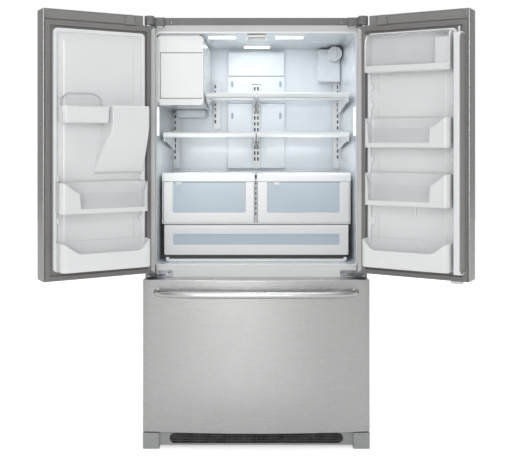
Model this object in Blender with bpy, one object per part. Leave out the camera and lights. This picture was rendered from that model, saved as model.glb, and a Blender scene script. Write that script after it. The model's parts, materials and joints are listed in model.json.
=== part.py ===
"""French door refrigerator: two hinged doors over a freezer drawer.

Metres, +Z up, front towards -Y.  Everything is built in the cabinet's own frame, with the
front flange in the plane Y = 0, the floor at Z = 0 and X = 0 half way between the sides.
A last step moves that frame so that the origin is under the middle of the whole object,
which stands with both doors swung open.
"""
import math

import bmesh
import bpy
from mathutils import Vector

# ---- clearances ----
GAP = 0.0003              # between pieces that touch
RUN = 0.002               # round pieces that slide

# ---- cabinet ----
CASE_WIDTH = 0.908
CASE_DEPTH = 0.700
CASE_TOP = 1.737
CASE_BOTTOM = 0.030
SKIN = 0.0008             # steel sheet
SIDE_WALL = 0.042         # outside of the case to the inside of the liner
TOP_FASCIA = 0.060        # top of the case to the top of the fridge opening
BACK_WALL = 0.110         # back of the case to the back of the fridge space
LINER = 0.0015            # moulded liner wall
LINER_DRAFT = 0.012       # each side of the fridge liner leans in by this at the back
FRIDGE_FLOOR = 0.725
RAIL_HEIGHT = 0.085
RAIL_DEPTH = 0.040
BAY_HEIGHT = 0.330        # machine compartment at the back
BAY_DEPTH = 0.200
BAY_SIDE = 0.054          # side of the case to the machine compartment
BAY_WALL = 0.050          # freezer space to the machine compartment
HALF = CASE_WIDTH / 2
LINER_HALF = HALF - SIDE_WALL
FRIDGE_TOP = CASE_TOP - TOP_FASCIA
FRIDGE_DEPTH = CASE_DEPTH - BACK_WALL
RAIL_BOTTOM = FRIDGE_FLOOR - RAIL_HEIGHT
BAY_FRONT = CASE_DEPTH - BAY_DEPTH

# ---- base ----
GRILLE_TOP = 0.066
GRILLE_POST = 0.066
LEG_RADIUS = 0.018
LEG_INSET = 0.074         # side of the case to the middle of a leg
LEG_Y = 0.060
ROLLER_RADIUS = 0.016
ROLLER_BACK = 0.080       # back of the case to the rollers' axle
AXLE_RADIUS = 0.005
COMPRESSOR_RADIUS = 0.078
COMPRESSOR_HEIGHT = 0.175
COMPRESSOR_X = -0.150

# ---- doors ----
DOOR_GAP = 0.006          # between the two doors
DOOR_LAP = 0.022          # the doors hang this far below the fridge floor
DOOR_RISE = 0.005         # top of a door to the top of the case
DOOR_EDGE = 0.061         # thickness at the hinge side
DOOR_STANDOFF = 0.014     # front flange to the doors' inner plane
BULGE = 0.027             # how far the curved front stands out at its middle
DOOR_SKIN = 0.003
PIN_SIDE = 0.018          # hinge axis from the door's side
PIN_OFFSET = 0.0005        # hinge axis from the middle of the door's thickness
PIN_RADIUS = 0.005
PIN_PLAY = 0.0008
OPEN_ANGLE = 150
NOTCH_WIDTH = 0.050       # door's cut corner under the hinge cover
NOTCH_HEIGHT = 0.038
PLATE = 0.002             # liner plate that closes the back of a door
DYKE = 0.020              # raised edge of a door liner
DYKE_WIDTH = 0.014
DOOR_LINER_U = 0.052      # hinge side of the raised edge
LEFT_LINER_INSET = 0.033  # free edge of the left door to its raised edge
RIGHT_LINER_INSET = 0.042
RETAINER_HEIGHT = 0.105
GASKET_WIDTH = 0.019
GASKET_PLAY = 0.001       # gasket to the front flange
GASKET_INSET = 0.022      # side of the door to the gasket, hinge side
GASKET_FREE = 0.005       # the same, free side
DOOR_REACH = 0.100        # furthest that anything on a door stands in from its inner plane
BIN_WALL = 0.003
BIN_SHY = 0.004           # bins stop this far short of the furthest reach
DOOR_WIDTH = (CASE_WIDTH - DOOR_GAP) / 2
DOOR_BOTTOM = FRIDGE_FLOOR - DOOR_LAP
DOOR_TOP = CASE_TOP - DOOR_RISE
DOOR_PLANE = -DOOR_STANDOFF
PIN_BACK = DOOR_EDGE / 2 - PIN_OFFSET
PIN_X = HALF - PIN_SIDE
PIN_Y = DOOR_PLANE - PIN_BACK
NOTCH_FLOOR = DOOR_TOP - NOTCH_HEIGHT
DOOR_LINER_BOTTOM = FRIDGE_FLOOR + 0.015
DOOR_LINER_TOP = FRIDGE_TOP - 0.019
LEFT_LINER_END = DOOR_WIDTH - LEFT_LINER_INSET
RIGHT_LINER_END = DOOR_WIDTH - RIGHT_LINER_INSET
GASKET_THICK = DOOR_STANDOFF - GASKET_PLAY - GAP
GASKET_BOTTOM = DOOR_BOTTOM + 0.003
GASKET_TOP = NOTCH_FLOOR - 0.008
BIN_BACK = DYKE + GAP
BIN_DEPTH = DOOR_REACH - BIN_SHY - BIN_BACK
BIN_START = DOOR_LINER_U + DYKE_WIDTH


def door_level(share):
    """Height on a door liner, as a share of the liner's own height."""
    return DOOR_LINER_BOTTOM + share * (DOOR_LINER_TOP - DOOR_LINER_BOTTOM)


# ---- fittings of the left door ----
LEFT_BIN_BOTTOM = door_level(0.242)
LEFT_BIN_HEIGHT = 0.115
DUCT_WIDTH = 0.152
DUCT_BASE = LEFT_BIN_BOTTOM + LEFT_BIN_HEIGHT + 0.023
CHUTE_TOP = door_level(0.683)
CADDY_START = BIN_START + DUCT_WIDTH + 0.002
CADDY_HEIGHT = 0.064
CADDY_TOP = CHUTE_TOP - 0.003
BAIL_RADIUS = 0.003
BAIL_HEIGHT = 0.046
DISPENSER_U = (0.120, 0.310)
DISPENSER_RISE = 0.093    # top of the recess above the top of the ice chute
DISPENSER_DEPTH = 0.058
DISPLAY_HEIGHT = 0.090
PADDLE_WIDTH = 0.052

# ---- fittings of the right door ----
LOWER_BIN_BOTTOM = door_level(0.268)
LOWER_BIN_HEIGHT = 0.123
UPPER_BIN_BOTTOM = door_level(0.510)
UPPER_BIN_HEIGHT = 0.113
RIGHT_BIN_U = (BIN_START, RIGHT_LINER_END - 0.007)
DAIRY_TOP = DOOR_LINER_TOP - 0.013
DAIRY_HEIGHT = 0.148
DAIRY_LIP = 0.026
DAIRY_SHY = 0.012         # the dairy bin stops this far short of the furthest reach
MULLION_INSET = 0.011     # free edge of the door to the folded flipper bar
MULLION_THICK = 0.028
MULLION_WIDTH = 0.060
MULLION_PIN = 0.004
MULLION_PLAY = 0.0032     # gasket to the folded bar, whose corner swings past it
PIVOT_IN = 0.008          # flipper bar's axis from its two outer faces

# ---- handles ----
BAR_THICK = 0.024
BAR_WIDTH = 0.028
HANDLE_END = 0.1195       # end of the door to the end of its handle
HANDLE_REACH = 0.066
HANDLE_EDGE = 0.040       # free edge of the door to the middle of the handle
DRAWER_HANDLE_SIDE = 0.042
DRAWER_HANDLE_REACH = 0.086
DRAWER_HANDLE_DROP = 0.048

# ---- freezer drawer ----
DRAWER_GAP = 0.024        # drawer front to the doors above it
DRAWER_LIFT = 0.005       # drawer front to the grille below it
FREEZER_SILL = 0.034      # bottom of the drawer front to the freezer floor
BASKET_SIDE = 0.042
BASKET_SPACE = 0.035      # between the two baskets
UPPER_BASKET_HEIGHT = 0.155
UPPER_BASKET_DROP = 0.048
UPPER_BASKET_FRONT = 0.030
DRAWER_BOTTOM = GRILLE_TOP + DRAWER_LIFT
DRAWER_TOP = DOOR_BOTTOM - DRAWER_GAP
FREEZER_FLOOR = DRAWER_BOTTOM + FREEZER_SILL
FREEZER_TOP = RAIL_BOTTOM - LINER - GAP
FREEZER_DEPTH = BAY_FRONT - BAY_WALL
BASKET_HALF = LINER_HALF - BASKET_SIDE
BASKET_BACK = FREEZER_DEPTH - 0.030
UPPER_BASKET_TOP = FREEZER_TOP - UPPER_BASKET_DROP
UPPER_BASKET = (UPPER_BASKET_TOP - UPPER_BASKET_HEIGHT, UPPER_BASKET_TOP)
LOWER_BASKET = (FREEZER_FLOOR + 0.020, UPPER_BASKET[0] - BASKET_SPACE)

# ---- inside the fridge ----
SHELF_RIM = 0.026
SHELF_SIDE = 0.018        # liner to the side of a shelf, at the front
BRACKET_DROP = 0.075
GLASS = 0.005
SHELF_GAP = 0.006         # between the left and right shelves
DUCT_HALF = 0.136
DUCT_DEPTH = 0.028
TRACK_HALF = 0.020
SIDE_TRACK = 0.033
SLOT_PITCH = 0.028
SLOT_HEIGHT = 0.0165
SLOT_WIDTH = 0.007
FRAME_SIDE = 0.014        # liner to the side of the crisper frame, at the front
FRAME_LIFT = 0.157        # fridge floor to the crisper frame
FRAME_HEIGHT = 0.217
FRAME_TRIM = 0.037
FRAME_WALL = 0.006
POST = (-0.008, 0.004)
DRAWER_PLAY = 0.0015
DRAWER_WALL = 0.010       # extra thickness of a drawer's front
DELI_SIDE = 0.024
DELI_LIFT = 0.028
KNOB_WIDTH = 0.024
ICE_WIDTH = 0.194
ICE_HEAD = 0.068          # fixed upper front of the ice maker
ICE_FRONT = 0.014
ICE_PANEL = 0.018
ICE_CHEEK = 0.016         # fixed strip of the housing beside the bin's front
ICE_WALL = 0.006
FILTER_RADIUS = 0.033
FILTER_LENGTH = 0.090
FILTER_BOX_WIDTH = 0.1067
FILTER_BOX_DEPTH = 0.070
SHELF_FRONT = DOOR_PLANE + DOOR_REACH + 0.019
DUCT_FRONT = FRIDGE_DEPTH - DUCT_DEPTH
DUCT_TOP = FRIDGE_TOP - 0.016
SHELF_BACK = DUCT_FRONT - 0.007
SHELF_HALF = LINER_HALF - SHELF_SIDE
FRAME_HALF = LINER_HALF - FRAME_SIDE
FRAME_FRONT = SHELF_FRONT - 0.003
FRAME_BACK = DUCT_FRONT - 0.002
FRAME_BOTTOM = FRIDGE_FLOOR + FRAME_LIFT
FRAME_TOP = FRAME_BOTTOM + FRAME_HEIGHT
DRAWER_BACK = FRIDGE_DEPTH - 0.045
DELI_HALF = LINER_HALF - DELI_SIDE
DELI = (FRIDGE_FLOOR + DELI_LIFT, FRAME_BOTTOM - 0.0025)


def shelf_level(share):
    """Height in the space between the crisper frame and the fridge's ceiling."""
    return FRAME_TOP + share * (FRIDGE_TOP - FRAME_TOP)


LOWER_SHELF = shelf_level(0.300)
UPPER_SHELF = shelf_level(0.588)
TRACK_TOP = UPPER_SHELF + 0.065
ICE_X = -LINER_HALF + ICE_WIDTH
ICE_BOTTOM = shelf_level(0.488)
ICE_TOP = FRIDGE_TOP - 0.013
ICE_SEAM = ICE_TOP - ICE_HEAD
FILTER_BOX_FRONT = FRIDGE_DEPTH - FILTER_BOX_DEPTH
FILTER_CENTRE = (LINER_HALF - 0.048, FRIDGE_TOP - 0.038)

# slot: colour, roughness, metallic
FINISHES = {
    "stainless": ((0.62, 0.62, 0.61), 0.32, 1.0),
    "grey_paint": ((0.33, 0.33, 0.33), 0.45, 0.0),
    "pale_grey": ((0.62, 0.63, 0.63), 0.45, 0.0),
    "foam": ((0.75, 0.70, 0.50), 0.90, 0.0),
    "white_liner": ((0.86, 0.88, 0.90), 0.35, 0.0),
    "white_trim": ((0.80, 0.83, 0.86), 0.40, 0.0),
    "clear_plastic": ((0.78, 0.86, 0.90), 0.10, 0.0),
    "gasket": ((0.38, 0.38, 0.38), 0.70, 0.0),
    "dark_plastic": ((0.05, 0.05, 0.055), 0.50, 0.0),
    "zinc": ((0.60, 0.60, 0.58), 0.35, 1.0),
    "black_paint": ((0.02, 0.02, 0.02), 0.40, 0.0),
    "wire": ((0.85, 0.85, 0.85), 0.30, 0.0),
}


# ---------------------------------------------------------------- helpers
def finish(slot):
    """The slot's material, made the first time it is asked for."""
    found = bpy.data.materials.get(slot)
    if found:
        return found
    colour, roughness, metallic = FINISHES[slot]
    mat = bpy.data.materials.new(slot)
    mat.use_nodes = True
    shader = mat.node_tree.nodes["Principled BSDF"]
    shader.inputs["Base Color"].default_value = (*colour, 1.0)
    shader.inputs["Roughness"].default_value = roughness
    shader.inputs["Metallic"].default_value = metallic
    return mat


def axis_empty(name, place, parent=None, turn=0.0):
    """An empty that carries a moving piece; turn is about Z, in degrees."""
    empty = bpy.data.objects.new(name, None)
    bpy.context.collection.objects.link(empty)
    empty.location = place
    empty.rotation_euler.z = math.radians(turn)
    empty.parent = parent
    return empty


def to_object(bm, name, slot, parent):
    bmesh.ops.recalc_face_normals(bm, faces=bm.faces)
    mesh = bpy.data.meshes.new(name)
    bm.to_mesh(mesh)
    bm.free()
    obj = bpy.data.objects.new(name, mesh)
    bpy.context.collection.objects.link(obj)
    mesh.materials.append(finish(slot))
    obj.parent = parent
    return obj


def block(name, x, y, z, slot, parent):
    """A box between the two values of each pair."""
    bm = bmesh.new()
    bmesh.ops.create_cube(bm, size=1.0)
    size = Vector((x[1] - x[0], y[1] - y[0], z[1] - z[0]))
    centre = Vector((x[0] + x[1], y[0] + y[1], z[0] + z[1])) / 2
    bmesh.ops.scale(bm, vec=size, verts=bm.verts)
    bmesh.ops.translate(bm, vec=centre, verts=bm.verts)
    return to_object(bm, name, slot, parent)


def prism(name, outline, axis, span, slot, parent):
    """The outline pushed along an axis: pairs are XY for Z, XZ for Y and YZ for X."""
    order = {"X": (2, 0, 1), "Y": (0, 2, 1), "Z": (0, 1, 2)}[axis]

    def place(point, level):
        values = (point[0], point[1], level)
        return [values[index] for index in order]

    bm = bmesh.new()
    face = bm.faces.new([bm.verts.new(place(point, span[0])) for point in outline])
    grown = bmesh.ops.extrude_face_region(bm, geom=[face])
    moved = [item for item in grown["geom"] if isinstance(item, bmesh.types.BMVert)]
    bmesh.ops.translate(bm, vec=place((0, 0), span[1] - span[0]), verts=moved)
    return to_object(bm, name, slot, parent)


def rod(name, centre, radius, axis, span, slot, parent, sides=24):
    """A cylinder; centre holds the two coordinates across the axis."""
    turn = 2 * math.pi / sides
    outline = [(centre[0] + radius * math.cos(turn * step),
                centre[1] + radius * math.sin(turn * step)) for step in range(sides)]
    obj = prism(name, outline, axis, span, slot, parent)
    obj.data.shade_smooth()
    obj.data.set_sharp_from_angle(angle=math.radians(40))
    return obj


def combine(target, tool, operation):
    """Boolean with a tool object that isn't itself part of the model."""
    tool.hide_render = True
    tool.display_type = "WIRE"
    mod = target.modifiers.new(operation.lower(), "BOOLEAN")
    mod.operation = operation
    mod.solver = "EXACT"
    mod.object = tool
    return target


def cut(target, x, y, z):
    tool = block(target.name + "_cut", x, y, z, "foam", target.parent)
    return combine(target, tool, "DIFFERENCE")


def join(target, tool):
    return combine(target, tool, "UNION")


def soften(obj, width, segments=2):
    mod = obj.modifiers.new("soft_edges", "BEVEL")
    mod.width = width
    mod.segments = segments
    mod.limit_method = "ANGLE"
    mod.angle_limit = math.radians(35)
    return obj


def tray(name, x, y, z, wall, slot, parent, front=0.0):
    """An open-topped box; front is an extra thickness of its -Y wall."""
    obj = block(name, x, y, z, slot, parent)
    inner_x = (x[0] + wall, x[1] - wall)
    inner_y = (y[0] + wall + front, y[1] - wall)
    return cut(obj, inner_x, inner_y, (z[0] + wall, z[1] + wall))


def front_y(x):
    """The curved front: how far it lies before the plane of its side edges."""
    return -BULGE * (1 - (x / HALF) ** 2)


def bow(length, reach, thick, steps=18):
    """Outline of a bow handle, feet on the zero line, as a squared half ellipse."""
    power = 0.62

    def arc(half, height):
        points = []
        for step in range(steps + 1):
            turn = math.pi * step / steps
            along = half * math.copysign(abs(math.cos(turn)) ** power, math.cos(turn))
            points.append((along, height * abs(math.sin(turn)) ** power))
        return points

    inner = arc(length / 2 - 2 * thick, reach - thick)
    return arc(length / 2, reach) + inner[::-1]


# ---------------------------------------------------------------- cabinet
def cavity(name, grow, slot, parent):
    """The fridge space with its drafted sides, grown by a wall."""
    bm = bmesh.new()
    bmesh.ops.create_cube(bm, size=1.0)
    front = -0.010 if grow else 0.0
    for vert in bm.verts:
        back = vert.co.y > 0
        depth = FRIDGE_DEPTH + grow if back else front
        half = LINER_HALF + grow - (LINER_DRAFT if back else 0)
        vert.co.x = math.copysign(half, vert.co.x)
        vert.co.y = depth
        vert.co.z = FRIDGE_TOP + grow if vert.co.z > 0 else FRIDGE_FLOOR - grow
    return to_object(bm, name, slot, parent)


def liner_side(y):
    """Half width between the fridge liner's walls at a depth."""
    return LINER_HALF - LINER_DRAFT * y / FRIDGE_DEPTH


def cabinet_shell(frame):
    shell = block("cabinet_shell", (-HALF, HALF), (0, CASE_DEPTH), (CASE_BOTTOM, CASE_TOP),
                  "stainless", frame)
    inside = HALF - SKIN
    cut(shell, (-inside, inside), (SKIN, CASE_DEPTH - SKIN), (0, CASE_TOP - SKIN))
    cut(shell, (-LINER_HALF, LINER_HALF), (-SKIN, 2 * SKIN), (FREEZER_FLOOR, FRIDGE_TOP))
    bay = HALF - BAY_SIDE
    cut(shell, (-bay, bay), (CASE_DEPTH - 2 * SKIN, CASE_DEPTH + SKIN), (0, BAY_HEIGHT))


def cabinet_core(frame):
    """Foam block with the two cold spaces, the rail's seat and the machine bay cut out."""
    side = HALF - SKIN - GAP
    core = block("cabinet_core", (-side, side), (SKIN + GAP, CASE_DEPTH - SKIN - GAP),
                 (CASE_BOTTOM, CASE_TOP - SKIN - GAP), "foam", frame)
    grow = LINER + GAP
    combine(core, cavity("fridge_cavity", grow, "foam", frame), "DIFFERENCE")
    wide = LINER_HALF + grow
    cut(core, (-wide, wide), (0, FREEZER_DEPTH + grow), (FREEZER_FLOOR - grow, FREEZER_TOP + grow))
    cut(core, (-wide, wide), (0, RAIL_DEPTH + GAP), (RAIL_BOTTOM - grow, FRIDGE_FLOOR))
    bay = HALF - BAY_SIDE
    cut(core, (-bay, bay), (BAY_FRONT, CASE_DEPTH + GAP), (0, BAY_HEIGHT))


def liners(frame):
    start = SKIN + GAP
    fridge = cavity("fridge_liner", LINER, "white_liner", frame)
    combine(fridge, cavity("fridge_space", 0.0, "foam", frame), "DIFFERENCE")
    wide = CASE_WIDTH
    cut(fridge, (-wide, wide), (-0.020, start), (0, CASE_TOP))
    cut(fridge, (-LINER_HALF, LINER_HALF), (0, FRIDGE_DEPTH / 2), (FRIDGE_FLOOR, FRIDGE_TOP))
    grown = LINER_HALF + LINER
    freezer = block("freezer_liner", (-grown, grown), (start, FREEZER_DEPTH + LINER),
                    (FREEZER_FLOOR - LINER, FREEZER_TOP + LINER), "white_liner", frame)
    cut(freezer, (-LINER_HALF, LINER_HALF), (0, FREEZER_DEPTH), (FREEZER_FLOOR, FREEZER_TOP))


def centre_rail(frame):
    side = LINER_HALF - GAP
    rail = block("centre_rail", (-side, side), (0, RAIL_DEPTH),
                 (RAIL_BOTTOM, FRIDGE_FLOOR - LINER - GAP), "pale_grey", frame)
    soften(rail, 0.001, 1)


def machine_bay(frame):
    """Base plate with the cover behind it, and the compressor standing on the plate."""
    bay = HALF - BAY_SIDE - 0.002
    base, sheet = 0.034, 0.003
    cover_back = CASE_DEPTH - SKIN - GAP
    cover = block("rear_cover", (-bay, bay), (BAY_FRONT + 0.005, cover_back),
                  (base, BAY_HEIGHT - 0.002), "black_paint", frame)
    cut(cover, (-HALF, HALF), (0, cover_back - sheet), (base + sheet, CASE_TOP))
    slot, pitch = 0.060, 0.100
    columns = int((2 * bay - slot) / pitch)
    for column in range(columns):
        x = pitch * (column - (columns - 1) / 2) - slot / 2
        for z in (0.150, 0.190):
            cut(cover, (x, x + slot), (cover_back - 0.010, CASE_DEPTH), (z, z + 0.012))
    stand = base + sheet + GAP
    middle = BAY_FRONT + BAY_DEPTH / 2 + 0.002
    pot = rod("compressor", (COMPRESSOR_X, middle), COMPRESSOR_RADIUS, "Z",
              (stand, stand + COMPRESSOR_HEIGHT), "black_paint", frame, sides=28)
    soften(pot, 0.028, 3)


def base_grille(frame):
    front = -DOOR_STANDOFF - DOOR_EDGE
    grille = block("base_grille", (-HALF, HALF), (front, -GAP), (0.002, GRILLE_TOP),
                   "grey_paint", frame)
    wall = 0.024
    cut(grille, (-HALF + wall, HALF - wall), (front + 0.030, CASE_DEPTH), (0, CASE_TOP))
    panel = HALF - GRILLE_POST
    cut(grille, (-panel, panel), (front - 0.010, front + 0.013), (0.014, GRILLE_TOP + 0.010))
    cut(grille, (-panel, panel), (front - 0.010, front + 0.040), (0, 0.012))
    louvre, pitch = 0.006, 0.010
    for row in range(4):
        z = 0.024 + pitch * row
        cut(grille, (-panel + 0.040, panel - 0.040), (front, front + 0.040), (z, z + louvre))


def feet(frame):
    for side, name in ((-1, "levelling_leg_left"), (1, "levelling_leg_right")):
        leg = rod(name, (side * (HALF - LEG_INSET), LEG_Y), LEG_RADIUS, "Z", (0, CASE_BOTTOM - GAP),
                  "dark_plastic", frame)
        soften(leg, 0.002, 1)


def rear_rollers(frame):
    """Two wheels fixed on one axle, which turns about X."""
    axle = axis_empty("rear_roller_axis", (0, CASE_DEPTH - ROLLER_BACK, ROLLER_RADIUS), frame)
    reach = HALF - BAY_SIDE - 0.040
    rollers = rod("rear_rollers", (0, 0), AXLE_RADIUS, "X", (-reach, reach), "zinc", axle, 12)
    for side in (-1, 1):
        span = sorted((side * (reach - 0.012), side * (reach + 0.012)))
        join(rollers, rod("wheel", (0, 0), ROLLER_RADIUS, "X", span, "dark_plastic", axle, 32))


def hinge_sets(frame):
    """Top hinge, its cover and the middle hinge, on each side."""
    for side, word in ((-1, "left"), (1, "right")):
        top_hinge(side, word, frame)
        middle_hinge(side, word, frame)


def mirrored(outline, side):
    return [(side * x, y) for x, y in outline]


def top_hinge(side, word, frame):
    plate_bottom = NOTCH_FLOOR + RUN
    plate = 0.005
    arm = [(PIN_X - 0.058, -GAP), (PIN_X - 0.058, -0.006), (PIN_X - 0.012, -0.006),
           (PIN_X - 0.012, PIN_Y - 0.010), (PIN_X + 0.010, PIN_Y - 0.010), (PIN_X + 0.010, -GAP)]
    hinge = prism(word + "_top_hinge", mirrored(arm, side), "Z",
                  (plate_bottom, plate_bottom + plate), "zinc", frame)
    pin = rod("pin", (side * PIN_X, PIN_Y), PIN_RADIUS, "Z",
              (NOTCH_FLOOR - 0.012, plate_bottom + 0.002), "zinc", frame)
    join(hinge, pin)
    cover_bottom = plate_bottom + plate + GAP
    edge = HALF - 0.003
    reach = PIN_X - 0.024
    outline = [(PIN_X - 0.063, -GAP), (PIN_X - 0.063, -0.008), (PIN_X - 0.059, -0.0125),
               (reach, -0.0125), (reach, PIN_Y - 0.010), (reach + 0.006, PIN_Y - 0.016),
               (edge - 0.006, PIN_Y - 0.016), (edge, PIN_Y - 0.010), (edge, -GAP)]
    cover = prism(word + "_hinge_cover", mirrored(outline, side), "Z",
                  (cover_bottom, CASE_TOP), "grey_paint", frame)
    soften(cover, 0.0015, 1)


def middle_hinge(side, word, frame):
    plate = 0.005
    middle = (DRAWER_TOP + DOOR_BOTTOM) / 2
    arm = [(PIN_X - 0.094, -GAP), (PIN_X - 0.094, -0.008), (PIN_X - 0.040, -0.012),
           (PIN_X - 0.012, PIN_Y - 0.010), (PIN_X + 0.010, PIN_Y - 0.010), (PIN_X + 0.010, -GAP)]
    hinge = prism(word + "_middle_hinge", mirrored(arm, side), "Z",
                  (middle - plate, middle), "zinc", frame)
    join(hinge, rod("pin", (side * PIN_X, PIN_Y), PIN_RADIUS, "Z",
                    (middle - plate / 2, DOOR_BOTTOM + 0.012), "zinc", frame))


# ---------------------------------------------------------------- inside the fridge
def mullion_guide(frame):
    """Block under the ceiling whose open pocket takes the pin of the door's mullion."""
    front = DOOR_PLANE + DYKE + 0.003
    guide = block("mullion_guide", (-0.039, 0.039), (front, front + 0.049),
                  (FRIDGE_TOP - 0.028, FRIDGE_TOP - GAP), "grey_paint", frame)
    cut(guide, (-0.030, 0.034), (0, front + 0.041), (0, FRIDGE_TOP - 0.014))


def air_duct(frame):
    duct = block("air_duct_cover", (-DUCT_HALF, DUCT_HALF), (DUCT_FRONT, FRIDGE_DEPTH - GAP),
                 (FRAME_TOP + 0.004, DUCT_TOP), "white_liner", frame)
    soften(duct, 0.004, 2)
    seat = TRACK_HALF + GAP
    cut(duct, (-seat, seat), (0, CASE_DEPTH), (0, TRACK_TOP + GAP))
    for side in (-1, 1):
        x = side * 0.115
        for z in (UPPER_SHELF - 0.098, UPPER_SHELF + 0.053):
            cut(duct, (x - 0.005, x + 0.005), (0, DUCT_FRONT + 0.010), (z, z + 0.027))


def slotted_track(name, x, y, columns, top, parent):
    """A plate with rows of hook slots at one pitch from the top down to the crispers."""
    bottom = FRAME_TOP + 0.004
    track = block(name, x, y, (bottom, top), "white_trim", parent)
    rows = int((top - bottom - 0.020) / SLOT_PITCH)
    bm = bmesh.new()
    for row in range(rows):
        for column in columns:
            made = bmesh.ops.create_cube(bm, size=1.0)["verts"]
            bmesh.ops.scale(bm, vec=(SLOT_WIDTH, 0.012, SLOT_HEIGHT), verts=made)
            z = top - 0.020 - SLOT_PITCH * row
            bmesh.ops.translate(bm, vec=(column, y[0], z), verts=made)
    return combine(track, to_object(bm, name + "_slots", "foam", parent), "DIFFERENCE")


def tracks(frame):
    centre_y = (DUCT_FRONT + 0.0005, FRIDGE_DEPTH - GAP)
    slotted_track("centre_track", (-TRACK_HALF, TRACK_HALF), centre_y, (-0.0075, 0.0075),
                  TRACK_TOP, frame)
    side = LINER_HALF - LINER_DRAFT - GAP
    slotted_track("right_track", (side - SIDE_TRACK, side), (DUCT_FRONT + 0.013, FRIDGE_DEPTH - GAP),
                  (side - 0.009,), TRACK_TOP + 0.009, frame)


def shelf(name, x, top, back, frame):
    """Glass in a moulded rim, on two sloped brackets, as one encapsulated piece."""
    rim = 0.008
    obj = block(name, x, (SHELF_FRONT, back), (top - SHELF_RIM, top), "clear_plastic", frame)
    cut(obj, (x[0] + rim, x[1] - rim), (SHELF_FRONT + rim, back - rim), (0, top - GLASS))
    profile = [(SHELF_FRONT + 0.070, top - SHELF_RIM + 0.002), (back, top - SHELF_RIM + 0.002),
               (back, top - BRACKET_DROP)]
    for edge in (x[0] + 0.001, x[1] - rim + 0.001):
        join(obj, prism("bracket", profile, "X", (edge, edge + rim - 0.002), "white_trim", frame))
    return obj


def shelves(frame):
    inner = SHELF_GAP / 2
    back = SHELF_BACK
    shelf("upper_shelf_left", (ICE_X + 0.003, -inner), UPPER_SHELF, back, frame)
    shelf("upper_shelf_right", (inner, SHELF_HALF), UPPER_SHELF, back, frame)
    shelf("lower_shelf_left", (-SHELF_HALF, -inner), LOWER_SHELF, back, frame)
    shelf("lower_shelf_right", (inner, SHELF_HALF), LOWER_SHELF, back, frame)


def crisper_frame(frame):
    """Housing over and between the crispers: glass top, front trim, post and floor."""
    obj = block("crisper_frame", (-FRAME_HALF, FRAME_HALF), (FRAME_FRONT, FRAME_BACK),
                (FRAME_BOTTOM, FRAME_TOP), "white_trim", frame)
    ceiling = FRAME_TOP - FRAME_TRIM
    floor = FRAME_BOTTOM + FRAME_WALL
    inner = FRAME_HALF - FRAME_WALL
    for x in ((-inner, POST[0]), (POST[1], inner)):
        cut(obj, x, (0, CASE_DEPTH), (floor, ceiling))
    cut(obj, (-inner, inner), (FRAME_FRONT + FRAME_WALL, CASE_DEPTH),
        (ceiling - 0.001, FRAME_TOP - GLASS))


def crispers(frame):
    floor = FRAME_BOTTOM + FRAME_WALL + GAP
    ceiling = FRAME_TOP - FRAME_TRIM - DRAWER_PLAY
    inner = FRAME_HALF - FRAME_WALL - DRAWER_PLAY
    bays = {"left": (-inner, POST[0] - DRAWER_PLAY), "right": (POST[1] + DRAWER_PLAY, inner)}
    knob_at = {"left": bays["left"][0] + 0.0655, "right": bays["right"][0] + 0.0815}
    front = FRAME_FRONT - 0.002
    for word, x in bays.items():
        tray(word + "_crisper", x, (front, DRAWER_BACK), (floor, ceiling), BIN_WALL,
             "clear_plastic", frame, DRAWER_WALL)
        middle = knob_at[word]
        block(word + "_humidity_slider", (middle - KNOB_WIDTH / 2, middle + KNOB_WIDTH / 2),
              (front - 0.006, front - GAP), (ceiling - 0.012, ceiling - 0.001), "white_trim", frame)
    tray("deli_drawer", (-DELI_HALF, DELI_HALF), (front, DRAWER_BACK), DELI, BIN_WALL,
         "clear_plastic", frame, DRAWER_WALL)


def ice_maker(frame):
    """Housing with a fixed upper front, and the ice bin that fills the rest of its front."""
    back = FRIDGE_DEPTH - 0.004
    plan = [(-liner_side(ICE_FRONT) + GAP, ICE_FRONT), (ICE_X, ICE_FRONT), (ICE_X, back),
            (-liner_side(back) + GAP, back)]
    housing = prism("ice_maker_housing", plan, "Z", (ICE_BOTTOM, ICE_TOP), "white_liner", frame)
    far = -liner_side(back) + ICE_WALL + GAP
    cut(housing, (far, ICE_X - ICE_WALL), (0, back - ICE_WALL), (ICE_BOTTOM + 0.018, ICE_SEAM))
    step = ICE_FRONT + ICE_PANEL
    cheek = -liner_side(ICE_FRONT) + ICE_CHEEK
    cut(housing, (cheek, 0), (0, step), (ICE_BOTTOM + 0.018, ICE_SEAM))
    pan = block("ice_bin", (far + 0.001, ICE_X - ICE_WALL - 0.001), (ICE_FRONT + 0.001, back - 0.066),
                (ICE_BOTTOM + 0.019, ICE_SEAM - 0.020), "white_liner", frame)
    join(pan, block("ice_bin_front", (cheek + 0.001, ICE_X), (ICE_FRONT, step - GAP),
                    (ICE_BOTTOM + 0.0275, ICE_SEAM - 0.001), "white_liner", frame))
    cut(pan, (far + 0.004, ICE_X - ICE_WALL - 0.004), (step + 0.002, back - 0.069),
        (ICE_BOTTOM + 0.022, CASE_TOP))


def water_filter(frame):
    side = LINER_HALF - LINER_DRAFT - GAP
    box = block("filter_housing", (side - FILTER_BOX_WIDTH, side),
                (FILTER_BOX_FRONT, FRIDGE_DEPTH - GAP),
                (UPPER_SHELF + 0.074, FRIDGE_TOP - 0.008), "white_liner", frame)
    soften(box, 0.004, 2)
    centre = Vector((FILTER_CENTRE[0], 0, FILTER_CENTRE[1]))
    axle = axis_empty("water_filter_axis", centre, frame)
    front = FILTER_BOX_FRONT - FILTER_LENGTH
    body = rod("water_filter", (0, 0), FILTER_RADIUS, "Y", (front, FILTER_BOX_FRONT - GAP),
               "white_trim", axle, 32)
    grip = block("filter_grip", (-0.004, 0.004), (front - 0.012, front + 0.002),
                 (-FILTER_RADIUS + 0.004, FILTER_RADIUS - 0.004), "white_trim", axle)
    join(body, grip)


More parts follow.
